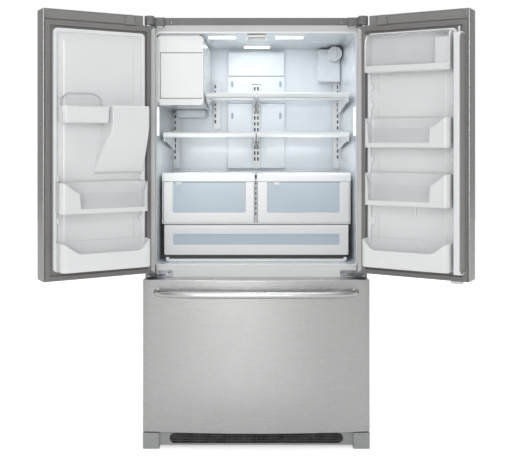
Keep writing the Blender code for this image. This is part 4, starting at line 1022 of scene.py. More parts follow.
def buildFilter():
    low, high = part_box("filter_housing")
    knobLow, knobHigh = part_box("water_filter")
    cx, cz = (knobLow.x + knobHigh.x) / 2, (knobLow.z + knobHigh.z) / 2
    radius = (knobHigh.z - knobLow.z) / 2
    body = block(low, high, 0.007, 3)
    plate = block((low.x + 0.008, low.y - 0.0012, low.z + 0.01),
                  (high.x - 0.008, low.y + 0.002, high.z - 0.08), 0.003)
    drops = cylinder("y", (low.x + 0.052, low.z + 0.03), 0.006, low.y - 0.0022, low.y, 24, 0.0008)
    fixed("filter_case", gather(body, plate, drops), "coolWhite", "filter_housing")
    barrel = cylinder("y", (cx, cz), radius, knobLow.y + 0.012, knobHigh.y, 48, 0.005)
    ridge = cylinder("y", (cx, cz), radius * 0.985, knobLow.y + 0.0125, knobLow.y + 0.016, 48, 0.001)
    grooves = gather(*[cylinder("y", (cx, cz), radius, knobLow.y + 0.03 + 0.012 * i,
                                knobLow.y + 0.034 + 0.012 * i, 48, 0.0015) for i in range(4)])
    grip = block((cx - 0.005, knobLow.y, cz - radius + 0.005),
                 (cx + 0.005, knobLow.y + 0.014, cz + radius - 0.005), 0.003, 3)
    mark = block((cx - 0.0016, knobLow.y + 0.0112, cz + radius - 0.006),
                 (cx + 0.0016, knobLow.y + 0.013, cz + radius - 0.002), 0.0005)
    piece("filter_knob", gather(barrel, ridge, grooves, grip, mark), "trimWhite", "filter", "water_filter")


def buildGuide():
    low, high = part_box("mullion_guide")
    roof = block((low.x, low.y, high.z - 0.012), high, 0.003)
    walls = [block(low, (low.x + 0.009, high.y, high.z - 0.004), 0.003),
             block((high.x - 0.005, low.y, low.z), (high.x, high.y, high.z - 0.004), 0.002),
             block((low.x, high.y - 0.008, low.z), (high.x, high.y, high.z - 0.004), 0.003)]
    brow = block((low.x, low.y, high.z - 0.017), (high.x, low.y + 0.006, high.z - 0.001), 0.002)
    fixed("mullion_catch", gather(roof, *walls, brow), "trimWhite", "mullion_guide")


buildIceMaker()
buildIceBin()
buildFilter()
buildGuide()
print("ice maker and filter done")

# hinges, grille, base
pinX = half - 0.018
pinY = joints["right_door_hinge"]["pos_m"][1]


def pair(name, bm, finish, stands):
    # a right-hand cabinet piece and its mirror image
    fixed("right_" + name, bm.copy(), finish, "right_" + stands)
    fixed("left_" + name, mirrored(bm), finish, "left_" + stands)


def buildHinges():
    low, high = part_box("right_hinge_cover")
    reach = pinX - 0.024
    front, near = low.y, depth(-0.0003)
    outline = [(low.x, near), (low.x, near - 0.009), (low.x + 0.005, near - 0.0125),
               (reach, near - 0.0125), (reach, front + 0.008), (reach + 0.008, front),
               (high.x - 0.01, front), (high.x, front + 0.01), (high.x, near)]
    cover = slab(outline, "z", low.z, high.z, 0.004, 0.0, only=range(1, 8))
    soften(cover, [e for e in creases(cover) if min(v.co.z for v in e.verts) > high.z - tiny], 0.005, 4)
    cap = cylinder("z", (pinX, pinY + 0.004), 0.006, high.z - 0.002, high.z - 0.0002, 28, 0.0006)
    pair("hinge_cap", gather(cover, cap), "fasciaGrey", "hinge_cover")
    for word in ("top", "middle"):
        node = word + "_hinge"
        low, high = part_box("right_" + node)
        arm = [(low.x, near), (low.x, near - 0.007), (low.x + 0.03, near - 0.009),
               (pinX - 0.012, pinY - 0.008), (pinX - 0.006, pinY - 0.0098), (pinX + 0.008, pinY - 0.0098),
               (high.x, pinY - 0.002), (high.x, near)]
        top = high.z if word == "top" else low.z + 0.005
        base = top - 0.005
        parts = [slab(arm, "z", base, top, 0.003, 0.0008),
                 cylinder("z", (pinX, pinY), 0.0048, low.z, high.z - 0.0005, 28, 0.0012)]
        if word == "top":
            parts += [cylinder("z", (pinX, pinY), 0.0082, base + 0.0006, top - 0.0006, 28, 0.0008),
                      screw("z", (low.x + 0.02, near - 0.0035), 0.002, base + 0.001, base + 0.002),
                      block((low.x + 0.001, near - 0.003, base), (low.x + 0.03, near, top), 0.0008)]
        else:
            parts += [cylinder("z", (pinX, pinY), 0.0082, base + 0.0006, top + 0.0012, 28, 0.0008),
                      screw("z", (low.x + 0.014, near - 0.0045), 0.0036, top - 0.0005, top + 0.0035),
                      block((low.x + 0.001, near - 0.005, base - 0.004),
                            (low.x + 0.064, near, top + 0.0135), 0.001)]
            parts += [screw("y", (low.x + x, top + 0.0065), 0.0048, near - 0.0045, near - 0.009)
                      for x in (0.012, 0.05)]
        pair(word + "_bracket", gather(*parts), "bracketSteel", node)
    plate = block((0.319, depth(-0.0026), 1.7075), (0.3725, depth(-0.0008), 1.7245), 0.0015)
    head = screw("y", (0.346, 1.716), 0.0052, depth(-0.0024), depth(-0.0052))
    fixed("hinge_fixing_plates", both(plate), "fasciaGrey")
    fixed("hinge_fixing_screws", both(head), "bracketSteel")


grille = {"post": 0.066, "set": 0.013, "slatCount": 4, "openHalf": 0.348}


def buildGrille():
    low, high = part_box("base_grille")
    inner = high.x - grille["post"]
    postOutline = [(inner, low.y), (high.x, low.y), (high.x, high.y), (high.x - 0.022, high.y),
                   (high.x - 0.022, low.y + 0.03), (inner, low.y + 0.03)]
    post = slab(postOutline, "z", low.z, high.z, 0.003, 0.0012, only=(0, 1))
    face = low.y + grille["set"]
    outer = ((-inner - 0.001, 0.0125), (inner + 0.001, high.z - 0.0005))
    hole = ((-grille["openHalf"], 0.0195), (grille["openHalf"], high.z - 0.0055))
    panel = ring(outer, hole, "y", face, face + 0.0165, (0.001, 0.0195), 0.0016)
    fixed("kick_plate", gather(both(post), panel), "kickGrey", "base_grille")
    slats = []
    count = grille["slatCount"]
    for i in range(count + 1):
        z = hole[0][1] + (hole[1][1] - hole[0][1]) * i / count
        slat = slab([(face + 0.003, z - 0.0022), (face + 0.014, z + 0.0022), (face + 0.0155, z + 0.0042),
                     (face + 0.003, z + 0.0004)], "x", -grille["openHalf"] + 0.004,
                    grille["openHalf"] - 0.004, 0.0005)
        slats.append(slat)
    struts = [block((x - 0.0015, face + 0.006, hole[0][1]), (x + 0.0015, face + 0.015, hole[1][1]), 0.0005)
              for x in (-0.232, -0.116, 0, 0.116, 0.232)]
    fixed("kick_louvres", gather(*slats, *struts), "louvreGrey")
    # a dark sheet behind the louvres: painted shade for the dark depth seen through the grille
    back = block((-inner, face + 0.017, 0.014), (inner, face + 0.019, high.z - 0.001), 0.0005)
    fixed("kick_backing_painted_shade", back, "darkPlasticAndPaintedShade")


foot = {"pad": 0.018, "nut": 0.013, "stud": 0.0062, "root": 0.0052, "pitch": 0.0016, "turns": 13}
coverScrews = {"x": (0.385, 0.2), "z": (0.05, 0.315), "radius": 0.0045}


def buildBase():
    repaint("rear_cover", "blackPaint")
    repaint("compressor", "blackPaint")
    low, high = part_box("rear_cover")
    heads = [both(screw("y", (x, z), coverScrews["radius"], high.y - 0.0005, high.y + 0.0009))
             for x in coverScrews["x"] for z in coverScrews["z"]]
    fixed("rear_cover_screws", gather(*heads), "zinc")
    for side in ("left", "right"):
        node = "levelling_leg_" + side
        low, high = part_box(node)
        cx, cy = (low.x + high.x) / 2, (low.y + high.y) / 2
        pad = cylinder("z", (cx, cy), foot["pad"], 0.0, 0.008, 36, 0.002)
        nut = cylinder("z", (cx, cy), foot["nut"], 0.0085, 0.016, 6, 0.0006)
        threads = [0.007 + foot["pitch"] * i for i in range(foot["turns"])]
        stud = gather(*[cylinder("z", (cx, cy), foot["stud"], z, z + foot["pitch"], 20, 0.0, foot["root"])
                        for z in threads])
        fixed(node + "_foot", gather(pad, nut, stud), "darkPlasticAndPaintedShade", node)
    repaint("rear_rollers", "darkPlasticAndPaintedShade")


buildHinges()
buildGrille()
buildBase()
print("hinges and base done")

# doors
# a door is drawn shut, lying along u from its hinge edge, w inwards and z up, then swung to where it stands
door = {"pinIn": 0.018, "pinBack": 0.03, "turn": -joints["left_door_hinge"]["range_deg"][0], "low": 0.703,
        "high": caseTop - 0.005, "wide": half - 0.003, "thick": 0.061, "bulge": 0.027, "notchWide": 0.05,
        "notchFloor": 1.694, "corner": 0.006, "edge": 0.0022}
hingeAt = Vector(joints["left_door_hinge"]["pos_m"])
doorSwing = Matrix.Rotation(math.radians(-door["turn"]), 4, "Z")
leftPlace = (Matrix.Translation((hingeAt.x, hingeAt.y, 0)) @ doorSwing
             @ Matrix.Translation((-door["pinIn"], door["pinBack"], 0)))
rightPlace = Matrix.Scale(-1, 4, (1, 0, 0)) @ leftPlace
doorPlaces = {"left": leftPlace, "right": rightPlace}
linerEnds = {"left": door["wide"] - 0.033, "right": door["wide"] - 0.042}
linerSpan = (0.74, 1.658)


def faceAt(u):
    # depth of the curved outer face at a distance from the hinge edge
    return -door["thick"] - door["bulge"] * (1 - ((half - u) / half) ** 2)


def buildSkin(word):
    steps, wide, corner = 22, door["wide"], door["corner"]
    outline = [(0, -0.0022), (0, -door["thick"] + corner), (corner * 0.3, -door["thick"] + corner * 0.3),
               (corner, faceAt(corner))]
    outline += [(corner + (wide - 2 * corner) * i / steps,
                 faceAt(corner + (wide - 2 * corner) * i / steps)) for i in range(1, steps + 1)]
    outline += [(wide - corner * 0.3, faceAt(wide) + corner * 0.3), (wide, faceAt(wide) + corner),
                (wide, -0.0022)]
    bm = slab(outline, "z", door["low"], door["notchFloor"])
    cutAt(bm, "x", [door["notchWide"]])
    tops = [f for f in bm.faces if f.normal.z > 0.9 and f.calc_center_median().x > door["notchWide"]]
    bmesh.ops.translate(bm, vec=(0, 0, door["high"] - door["notchFloor"]), verts=lifted(bm, tops))
    soften(bm, creases(bm, 60), door["edge"])
    if word == "left":
        (u0, u1), (z0, z1) = dispenser["u"], dispenser["z"]
        cutAt(bm, "x", [u0, u1])
        cutAt(bm, "z", [z0, z1])
        mouth = [f for f in bm.faces if f.normal.y < -0.5 and u0 < f.calc_center_median().x < u1
                 and z0 < f.calc_center_median().z < z1]
        for v in lifted(bm, mouth):
            v.co.y = dispenser["pocket"]
        outward(bm)
    hung(word, word + "_door_skin", bm, "stainless", word + "_door_panel", angle=28)


capSettings = {"inset": 0.0015, "bandLow": 1.6885, "bandStart": 0.0845, "stopU": 0.108}


def buildCap(word):
    # grey surround that closes the back of a door, with its raised top band
    inset, wide, notch = capSettings["inset"], door["wide"], door["notchWide"] + capSettings["inset"]
    low, high, band, shelfZ = door["low"], door["high"], capSettings["bandLow"], door["notchFloor"] - inset
    outline = [(inset, low + inset), (wide - inset, low + inset), (wide - inset, high - inset),
               (notch, high - inset), (notch, shelfZ), (inset, shelfZ)]
    plate = slab(outline, "y", -0.0024, -0.0004, 0.003, 0.0007)
    edge = ring(((inset, low + inset), (wide - inset, band)),
                ((0.0205, low + 0.0045), (wide - 0.0035, band - 0.003)), "y", -0.0006, 0.0012,
                (0.004, 0.003), 0.0006)
    rail = block((capSettings["bandStart"], -0.001, band + 0.0045), (wide - 0.004, 0.0042, high - 0.002),
                 0.0018, 3)
    sunken(rail, (0, 1, 0), (0.004, -0.0026))
    end = slab([(wide - 0.0285, high - 0.003), (wide - 0.0045, high - 0.003),
                (wide - 0.0045, band + 0.006)], "y", 0.001, 0.0052, 0.0015, 0.0008)
    u, top, foot = capSettings["stopU"], high - 0.0015, band + 0.002
    stop = slab([(u - 0.0155, top), (u + 0.0155, top), (u + 0.0225, foot), (u - 0.0225, foot)],
                "y", 0.0, 0.0074, 0.002, 0.0014)
    hung(word, word + "_door_cap", gather(plate, edge, rail, end, stop), "doorGrey")
    trim = slab([(0.003, low + 0.004), (0.0195, low + 0.014), (0.0195, band - 0.012),
                 (0.003, band - 0.001)], "y", 0.0002, 0.0022, 0.0008, 0.0008)
    hung(word, word + "_door_edge_trim", trim, "flangeGrey")


gasketSettings = {"u": (0.022, door["wide"] - 0.005), "z": (0.706, 1.686), "wide": 0.019, "deep": 0.0127}


def bellows(outer, wide, axis, start, deep):
    # a magnetic seal: foot, folded bellows, and a rounded head
    (a, b), (c, d) = outer

    def band(inset, inner, s, e, radius):
        return ring(((a + inset, b + inset), (c - inset, d - inset)),
                    ((a + inner, b + inner), (c - inner, d - inner)), axis, start + s * deep,
                    start + e * deep, (0.006, 0.003), radius)
    return gather(band(0.0, wide, 0.0, 0.22, 0.0008), band(0.0035, wide - 0.003, 0.2, 0.42, 0.001),
                  band(0.0015, wide - 0.0015, 0.4, 0.62, 0.0012), band(0.0005, wide - 0.001, 0.6, 1.0, 0.0022),
                  band(0.0065, wide - 0.0075, 0.58, 1.0, 0.002))


def buildGasket(word):
    (u0, u1), (z0, z1) = gasketSettings["u"], gasketSettings["z"]
    bm = bellows(((u0, z0), (u1, z1)), gasketSettings["wide"], "y", 0.0003, gasketSettings["deep"])
    hung(word, word + "_door_seal", bm, "gasketGrey", word + "_door_gasket")


formed = {"dykeTop": 0.02, "dykeWide": 0.014, "floor": 0.0045, "corner": 0.016, "u": 0.052}


def quarter(steps):
    return [math.radians(90 * i / steps) for i in range(steps + 1)]


def rolled(wide, top, roll, steps):
    # the profile of a raised edge: up one side, over, and down the other
    turn = quarter(steps)
    return ([(roll * (1 - math.cos(a)), top - roll + roll * math.sin(a)) for a in turn] + [(wide / 2, None)]
            + [(wide - roll + roll * math.sin(a), top - roll + roll * math.cos(a)) for a in turn])


def formedLiner(end):
    # a vacuum-formed tray: outer wall, rolled dyke, sloped inner wall and floor
    top, floor, wide, roll, cove = formed["dykeTop"], formed["floor"], formed["dykeWide"], 0.0042, 0.0035
    profile = [(0.0, -0.0004)]
    profile += [(inset, top + 0.0004 if level is None else level) for inset,
                level in rolled(wide, top, roll, 4)]
    profile += [(wide + 0.001 + cove * (1 - math.cos(a)), floor + cove * (1 - math.sin(a)))
                for a in quarter(4)]
    profile += [(wide + inset, floor + rise) for inset, rise in
                ((0.026, 0.0002), (0.028, 0.0006), (0.031, 0.0026), (0.034, 0.003))]
    return dish((formed["u"], linerSpan[0]), (end, linerSpan[1]), "y", profile, formed["corner"])


retainer = {"low": 0.745, "middle": 0.812, "shoulder": 0.852, "reach": (0.0203, 0.096), "wall": 0.003}


def smooth(x, a, b):
    t = min(1.0, max(0.0, (x - a) / (b - a)))
    return t * t * (3 - 2 * t)


def retainerRim(u0, u1):
    def rim(u, w):
        swell = max(1 - smooth(u, u0, u0 + 0.055), smooth(u, u1 - 0.075, u1))
        back = 1 - smooth(w, retainer["reach"][0], retainer["reach"][1] - 0.012)
        return retainer["middle"] + (retainer["shoulder"] - retainer["middle"]) * max(swell, back)
    return rim


def buildRetainer(end):
    u0, u1 = formed["u"] + 0.002, end - 0.008
    w0, w1 = retainer["reach"]
    return scoop((u0, w0 - 0.01, retainer["low"]), (u1, w1, retainer["shoulder"] + 0.002), retainer["wall"],
                 retainerRim(u0, u1), 0.022, 0.008)


def supports(u0, u1, levels):
    # small lugs inside the side walls that the bins hook over
    parts = []
    for z in levels:
        parts.append(block((u0, 0.006, z - 0.011), (u0 + 0.009, 0.0195, z + 0.011), 0.003, 3))
        parts.append(block((u1 - 0.009, 0.006, z - 0.011), (u1, 0.0195, z + 0.011), 0.003, 3))
    return gather(*parts)


def buildDoorLiner(word):
    end = linerEnds[word]
    parts = [formedLiner(end), buildRetainer(end)]
    inside = (formed["u"] + 0.0135, end - 0.0135)
    if word == "right":
        parts.append(supports(*inside, (1.088, 1.16, 1.302, 1.374, 1.445)))
        ridge = block((0.2375, 0.002, 0.936), (0.2505, 0.0115, 1.029), 0.0062, 4)
        ledge = block((formed["u"] + 0.01, 0.002, 0.9), (formed["u"] + 0.03, 0.016, 0.935), 0.005, 3)
        parts += [ridge, ledge]
    else:
        parts.append(supports(*inside, (0.93, 1.09)))
        parts.append(block((0.2245, 0.002, 1.395), (end - 0.016, 0.0085, 1.4), 0.002))
    lumps = [block((inside[0] + 0.008 + 0.018 * i, 0.0035, 0.752), (inside[0] + 0.018 + 0.018 * i, 0.019,
                                                                    0.8), 0.004, 3) for i in range(2)]
    parts += lumps
    hung(word, word + "_door_formed_liner", gather(*parts), "linerWhite", word + "_door_liner")


# door bins
binShape = {"wall": 0.0028, "reach": (0.0205, 0.0946), "band": 0.0012, "corner": 0.018, "strip": 0.018,
            "narrow": 0.016, "wide": 0.073, "shoulder": 0.66, "start": 0.0665}


def binRim(u0, u1, z0, high, level):
    def rim(u, w):
        ends = max(1 - smooth(u, u0 + 0.002, u0 + 0.03), smooth(u, u1 - binShape["wide"], u1 - 0.004))
        back = 1 - smooth(w, binShape["reach"][0], binShape["reach"][1] - 0.018)
        return z0 + high * (level + (1 - level) * max(ends, back))
    return rim


def bandRim(u0, u1, z0, high):
    def rim(u, w):
        if w < binShape["reach"][1] - 0.006 or u < u0 + binShape["narrow"] or u > u1 - binShape["wide"]:
            return binRim(u0, u1, z0, high, binShape["shoulder"])(u, w)
        return z0 + binShape["strip"]
    return rim


def buildBin(name, word, u0, u1, z0, high):
    w0, w1 = binShape["reach"]
    clear = scoop((u0 + 0.0016, w0, z0 + 0.0008), (u1 - 0.0016, w1, z0 + high), binShape["wall"],
                  binRim(u0, u1, z0, high - 0.0008, binShape["shoulder"]), binShape["corner"])
    front = w1 + 0.0014
    bm = scoop((u0, w0, z0), (u1, front, z0 + high), binShape["band"], bandRim(u0, u1, z0, high),
               binShape["corner"] + 0.001, 0.004, False)
    foot = ring(((u0 + 0.001, w0), (u1 - 0.001, front - 0.0005)),
                ((u0 + 0.012, w0 + 0.01), (u1 - 0.012, front - 0.012)), "z", z0, z0 + 0.0022,
                (0.01, 0.012), 0.0008)
    hooks = [block((u, w0 - 0.006, z0 + high * 0.62), (u + 0.01, w0 + 0.006, z0 + high * 0.62 + 0.02),
                   0.002) for u in (u0 + 0.004, u1 - 0.014)]
    hung(word, name + "_band", gather(bm, foot), "trimWhite")
    hung(word, name + "_clear", gather(clear, *hooks), "clearPlastic", name)


def nodeBox(node, word):
    # a door node's box in the door's own u, w, z
    back = doorPlaces[word].inverted()
    points = [back @ v.co for v in frame["nodes"][node].data.vertices]
    return [min(p[i] for p in points) for i in range(3)], [max(p[i] for p in points) for i in range(3)]


dairy = {"front": 0.0875, "ledge": 0.026, "wall": 0.0032}


def buildDairy():
    (u0, w0, z0), (u1, _, z1) = nodeBox("dairy_bin", "right")
    front, wall = dairy["front"], dairy["wall"]
    profile = [(w0, z0), (front - 0.006, z0), (front, z0 + 0.005), (front, z0 + dairy["ledge"]),
               (front - 0.004, z1 - 0.03), (front - 0.022, z1), (w0, z1)]
    cheeks = [slab(profile, "x", u, u + 0.0062, 0.004, 0.0016) for u in (u0 + 0.0002, u1 - 0.0064)]
    base = slab([(w0, z0), (front - 0.004, z0), (front, z0 + 0.006), (front, z0 + dairy["ledge"] - 0.003),
                 (front - 0.005, z0 + dairy["ledge"]), (front - 0.009, z0 + dairy["ledge"] - 0.004),
                 (front - 0.012, z0 + 0.006), (w0, z0 + 0.0045)], "x", u0 + 0.001, u1 - 0.001, 0.002,
                0.0006)
    roof = slab([(w0, z1 - wall), (front - 0.024, z1 - wall), (front - 0.02, z1 - wall + 0.0005),
                 (front - 0.022, z1), (w0, z1)], "x", u0 + 0.001, u1 - 0.001, 0.0008, 0.0004)
    rear = block((u0 + 0.001, w0, z0), (u1 - 0.001, w0 + wall, z1), 0.001)
    post = block((u1 - 0.058, front - 0.01, z0 + dairy["ledge"] - 0.002),
                 (u1 - 0.004, front - 0.0052, z1 - 0.026), 0.0022, 3)
    hung("right", "dairy_bin_body", gather(*cheeks, base, roof, rear, post), "trimWhite", "dairy_bin")
    egg = block((u0 + 0.03, w0 + 0.008, z0 + 0.01), (u1 - 0.07, front - 0.016, z0 + 0.013), 0.0014)
    hung("right", "dairy_bin_mat", egg, "clearPlastic")
    (a, b, c), (d, e, f) = nodeBox("dairy_cover", "right")
    pane = block((a + 0.004, b + 0.0003, c), (d - 0.004, e - 0.0003, f - 0.002), 0.0012)
    rim = ring(((a + 0.002, c), (d - 0.002, f - 0.001)), ((a + 0.006, c + 0.004), (d - 0.006, f - 0.005)),
               "y", b, e, (0.006, 0.004), 0.0006)
    barrel = cylinder("x", ((b + e) / 2, f - 0.0022), 0.0018, a + 0.001, d - 0.001, 20, 0.0004)
    grip = block(((a + d) / 2 - 0.03, e - 0.001, c + 0.001), ((a + d) / 2 + 0.03, e + 0.0012, c + 0.005),
                 0.0009)
    hung("right", "dairy_cover_pane", gather(pane, rim, barrel, grip), "clearPlastic", "dairy_cover",
         body="dairy_flap")


# dispenser
dispenser = {"u": (0.12, 0.31), "z": (1.1002, 1.4598), "proud": 0.0035, "pocket": -0.0219, "back": -0.0224,
             "deep": -0.026, "ceiling": 1.3695}


def buildDuct():
    (u0, _, z0), (u1, w1, z1) = nodeBox("dispenser_duct", "left")
    tall = z1 - z0
    profile = [(0.001, z1), (w1 - 0.004, z1), (w1, z1 - 0.004), (w1, z1 - 0.29 * tall),
               (w1 - 0.008, z1 - 0.42 * tall), (0.07, z0 + 0.36 * tall), (0.046, z0 + 0.16 * tall),
               (0.03, z0 + 0.04 * tall), (0.001, z0)]
    bm = slab(profile, "x", u0 + 0.0005, u1 - 0.0005)
    for v in bm.verts:
        if v.co.x > (u0 + u1) / 2:
            v.co.x += 0.044 * smooth(z1 - 0.35 * tall - v.co.z, 0,
                                     0.5 * tall) - 0.004 * (v.co.z > z1 - 0.3 * tall)
    soften(bm, [e for e in creases(bm, 10) if max(v.co.y for v in e.verts) > 0.02], 0.0115, 5)
    sunken(bm, (0, 0, 1), (0.02, 0.0), (0.003, 0.0), (0.004, -0.03))
    hung("left", "ice_chute", bm, "linerWhite", "dispenser_duct")
    flap = block((u0 + 0.034, 0.03, z1 - 0.029), (u1 - 0.034, w1 - 0.03, z1 - 0.026), 0.002)
    hung("left", "ice_chute_throat", flap, "darkPlasticAndPaintedShade")


def buildDispenser():
    (u0, u1), (z0, z1), roof = dispenser["u"], dispenser["z"], dispenser["ceiling"]
    u0, u1, z0, z1 = u0 + 0.0008, u1 - 0.0008, z0 + 0.0006, z1 - 0.0006
    bm = block((u0, -0.079, z0), (u1, dispenser["back"], z1))
    soften(bm, [e for e in bm.edges if runsAlong(e, "y")], 0.008, 4)
    cutAt(bm, "x", [u0 + (u1 - u0) * i / 10 for i in range(1, 10)])
    for v in bm.verts:
        if v.co.y < -0.07:
            v.co.y = faceAt(v.co.x) - dispenser["proud"]
    cutAt(bm, "z", [z0 + 0.005, roof, roof + 0.006, z1 - 0.006])
    cutAt(bm, "x", [u0 + 0.006, u1 - 0.006])

    def part(a, b):
        return [f for f in bm.faces if f.normal.y < -0.3
                and u0 + 0.006 < f.calc_center_median().x < u1 - 0.006 and a < f.calc_center_median().z < b]

    for v in lifted(bm, part(z0 + 0.005, roof)):
        v.co.y = dispenser["deep"]
    display = lifted(bm, part(roof + 0.006, z1 - 0.006))
    bmesh.ops.translate(bm, vec=(0, 0.0016, 0), verts=display)
    outward(bm)
    soften(bm, frontCreases(bm, -0.06, 50), 0.001)
    middle = (u0 + u1) / 2
    front = faceAt(middle)
    spout = cylinder("z", (middle, front + 0.026), 0.011, roof - 0.016, roof + 0.002, 32, 0.002, 0.014)
    tap = cylinder("z", (middle, front + 0.012), 0.004, roof - 0.012, roof + 0.002, 24, 0.001)
    sill = [block((u0 + 0.012, front + 0.006 + 0.007 * i, z0 + 0.0045),
                  (u1 - 0.012, front + 0.0085 + 0.007 * i, z0 + 0.0075), 0.0008) for i in range(6)]
    hung("left", "dispenser_surround", gather(bm, spout, tap, *sill), "darkPlasticAndPaintedShade", "dispenser_bezel")
    glass = block((u0 + 0.0066, -0.079, roof + 0.0066), (u1 - 0.0066, -0.07, z1 - 0.0066))
    cutAt(glass, "x", [u0 + (u1 - u0) * i / 10 for i in range(1, 10)])
    for v in glass.verts:
        v.co.y = faceAt(v.co.x) - dispenser["proud"] + (0.0004 if v.co.y < -0.075 else 0.003)
    hung("left", "dispenser_display", glass, "displayGlass")
    marks = []
    for i in range(5):
        u = u0 + 0.03 + (u1 - u0 - 0.06) * i / 4
        face = faceAt(u) - dispenser["proud"]
        marks.append(cylinder("y", (u, roof + 0.026), 0.0032, face - 0.0001, face + 0.002, 20))
    face = front - dispenser["proud"]
    marks.append(block((middle - 0.03, face - 0.0004, z1 - 0.034),
                       (middle + 0.03, face + 0.002, z1 - 0.031)))
    hung("left", "dispenser_marks", gather(*marks), "markGlow")
    piece("dispenser_lever", copied("dispenser_paddle", 0.0008), "displayGlass", "paddle",
          "dispenser_paddle")


def buildCaddy():
    (u0, w0, z0), (u1, w1, z1) = nodeBox("caddy_bin", "left")
    bm = tray((u0, w0, z0), (u1, w1, z1), 0.003, 0.016, 0.004)
    lip = ring(*border((u0, w0), (u1, w1), 0.0045), "z", z1 - 0.005, z1, (0.016, 0.013), 0.0018, 3)
    hung("left", "caddy_bin_body", gather(bm, lip), "linerWhite", "caddy_bin")
    (u0, w0, z0), (u1, w1, z1) = nodeBox("caddy_bail", "left")
    w, r = (w0 + w1) / 2, (w1 - w0) / 2
    low, bend = z0 + r, 0.028
    side = [(u0 + r + 0.006, w, low), (u0 + r, w, low), (u0 + r, w, z1 - 0.022), (u0 + bend, w, z1 - r)]
    path = side + [(u0 + u1 - u, w, z) for u, w, z in reversed(side)]
    wireBm = bar(path, r * 0.93, 0.009, 12)
    hung("left", "caddy_bail_wire", wireBm, "whiteWire", "caddy_bail", body="bail")


# handles and mullion
bow = {"thick": 0.024, "wide": 0.028, "power": 0.62, "steps": 40}


def bowPath(halfLength, reach):
    points = []
    for i in range(bow["steps"] + 1):
        turn = math.pi * i / bow["steps"]
        along = halfLength * math.copysign(abs(math.cos(turn)) ** bow["power"], math.cos(turn))
        points.append((along, reach * abs(math.sin(turn)) ** bow["power"]))
    return points


def handleWidth(t):
    return 0.86 + 0.14 * smooth(min(t, 1 - t), 0.0, 0.12)


def buildHandle(word):
    (u0, w0, z0), (u1, _, z1) = nodeBox(word + "_door_handle", word)
    u, middle = (u0 + u1) / 2, (z0 + z1) / 2
    radius = bow["thick"] / 2
    foot = faceAt(u) + 0.004
    path = [(u, foot - out, middle + along) for along, out in bowPath((z1 - z0) / 2 - radius - 0.001,
                                                                      foot - w0 - radius - 0.0006)]
    bm = bar(path, radius - 0.0004, 0, 16, handleWidth, (bow["wide"] / bow["thick"], 1, 1))
    collars = gather(*[cylinder("y", (u, z), 0.0155, faceAt(u) - 0.0035, faceAt(u) + 0.003, 36, 0.0012)
                       for z in (z0 + 0.0155, z1 - 0.0155)])
    hung(word, word + "_door_bar", bm, "uprightSteel", word + "_door_handle")
    hung(word, word + "_door_bar_feet", collars, "darkPlasticAndPaintedShade")


mullion = {"top": 1.635, "cap": 0.016, "face": 0.0048, "pin": 0.0038}


def buildMullion():
    (u0, w0, z0), (u1, w1, z1) = nodeBox("door_mullion", "right")
    top, cap = mullion["top"], mullion["cap"]
    core = block((u0, w0, z0), (u1 - 0.0035, w1, top), 0.004, 3)
    steel = block((u1 - mullion["face"], w0 + 0.001, z0 + 0.004), (u1, w1 - 0.001, top - 0.004), 0.001)
    capTop = block((u0, w0 + 0.001, top - cap), (u1, w1 - 0.0005, top), 0.003, 3)
    capFoot = block((u0, w0 + 0.001, z0), (u1, w1 - 0.0005, z0 + cap), 0.003, 3)
    u, w = (u0 + u1) / 2, (w0 + w1) / 2
    pin = cylinder("z", (u, w), mullion["pin"], top - 0.006, z1, 24, 0.001)
    hung("right", "mullion_bar", gather(core, capTop, capFoot, pin), "linerWhite", "door_mullion",
         body="mullion")
    hung("right", "mullion_face", steel, "doorGrey", body="mullion")
    pivots = [block((0.418, 0.0135, z), (0.4335, 0.0265, z + 0.0065), 0.002)
              for z in (z0 - 0.0072, top + 0.0008)]
    hung("right", "mullion_pivots", gather(*pivots), "trimWhite")
    tab = block((0.379, -0.014, 0.6935), (0.426, -0.002, 0.7035), 0.002)
    hung("right", "door_foot_tab", tab, "trimWhite")


for word in ("left", "right"):
    buildSkin(word)
    buildCap(word)
    buildGasket(word)
    buildDoorLiner(word)
    buildHandle(word)
buildDuct()
buildDispenser()
buildCaddy()
for node, word, gap, foot, tall in (("left_door_bin", "left", 0.0055, 0.962, 0.115),
                                    ("upper_door_bin", "right", 0.0075, 1.208, 0.113),
                                    ("lower_door_bin", "right", 0.0075, 0.986, 0.123)):
    buildBin(node, word, binShape["start"], linerEnds[word] - gap, foot, tall)
buildDairy()
buildMullion()
print("doors done")

# freezer drawer
drawer = {"low": 0.071, "high": 0.679, "back": -0.014, "edge": -0.075, "bulge": 0.027, "corner": 0.006,
          "round": 0.0024}


def drawerFront(x):
    # depth of the drawer's curved front across its width
    return depth(drawer["edge"] - drawer["bulge"] * (1 - (x / half) ** 2))


def buildDrawerFront():
    steps, half0, corner = 36, half - 0.0002, drawer["corner"]
    across = half0 - corner
    outline = [(-half0, depth(drawer["back"])), (-half0, depth(drawer["edge"]) + corner),
               (-half0 + corner * 0.3, depth(drawer["edge"]) + corner * 0.3)]
    outline += [(-across + 2 * across * i / steps, drawerFront(-across + 2 * across * i / steps))
                for i in range(steps + 1)]
    outline += [(half0 - corner * 0.3, depth(drawer["edge"]) + corner * 0.3),
                (half0, depth(drawer["edge"]) + corner), (half0, depth(drawer["back"]))]
    bm = slab(outline, "z", drawer["low"], drawer["high"])
    soften(bm, creases(bm, 60), drawer["round"], 3)
    piece("drawer_front_skin", bm, "stainless", "freezer_drawer", "freezer_drawer_panel", angle=28)


drawerLiner = {"ring": 0.392, "ringLow": 0.112, "ringHigh": 0.6327, "corner": 0.022}


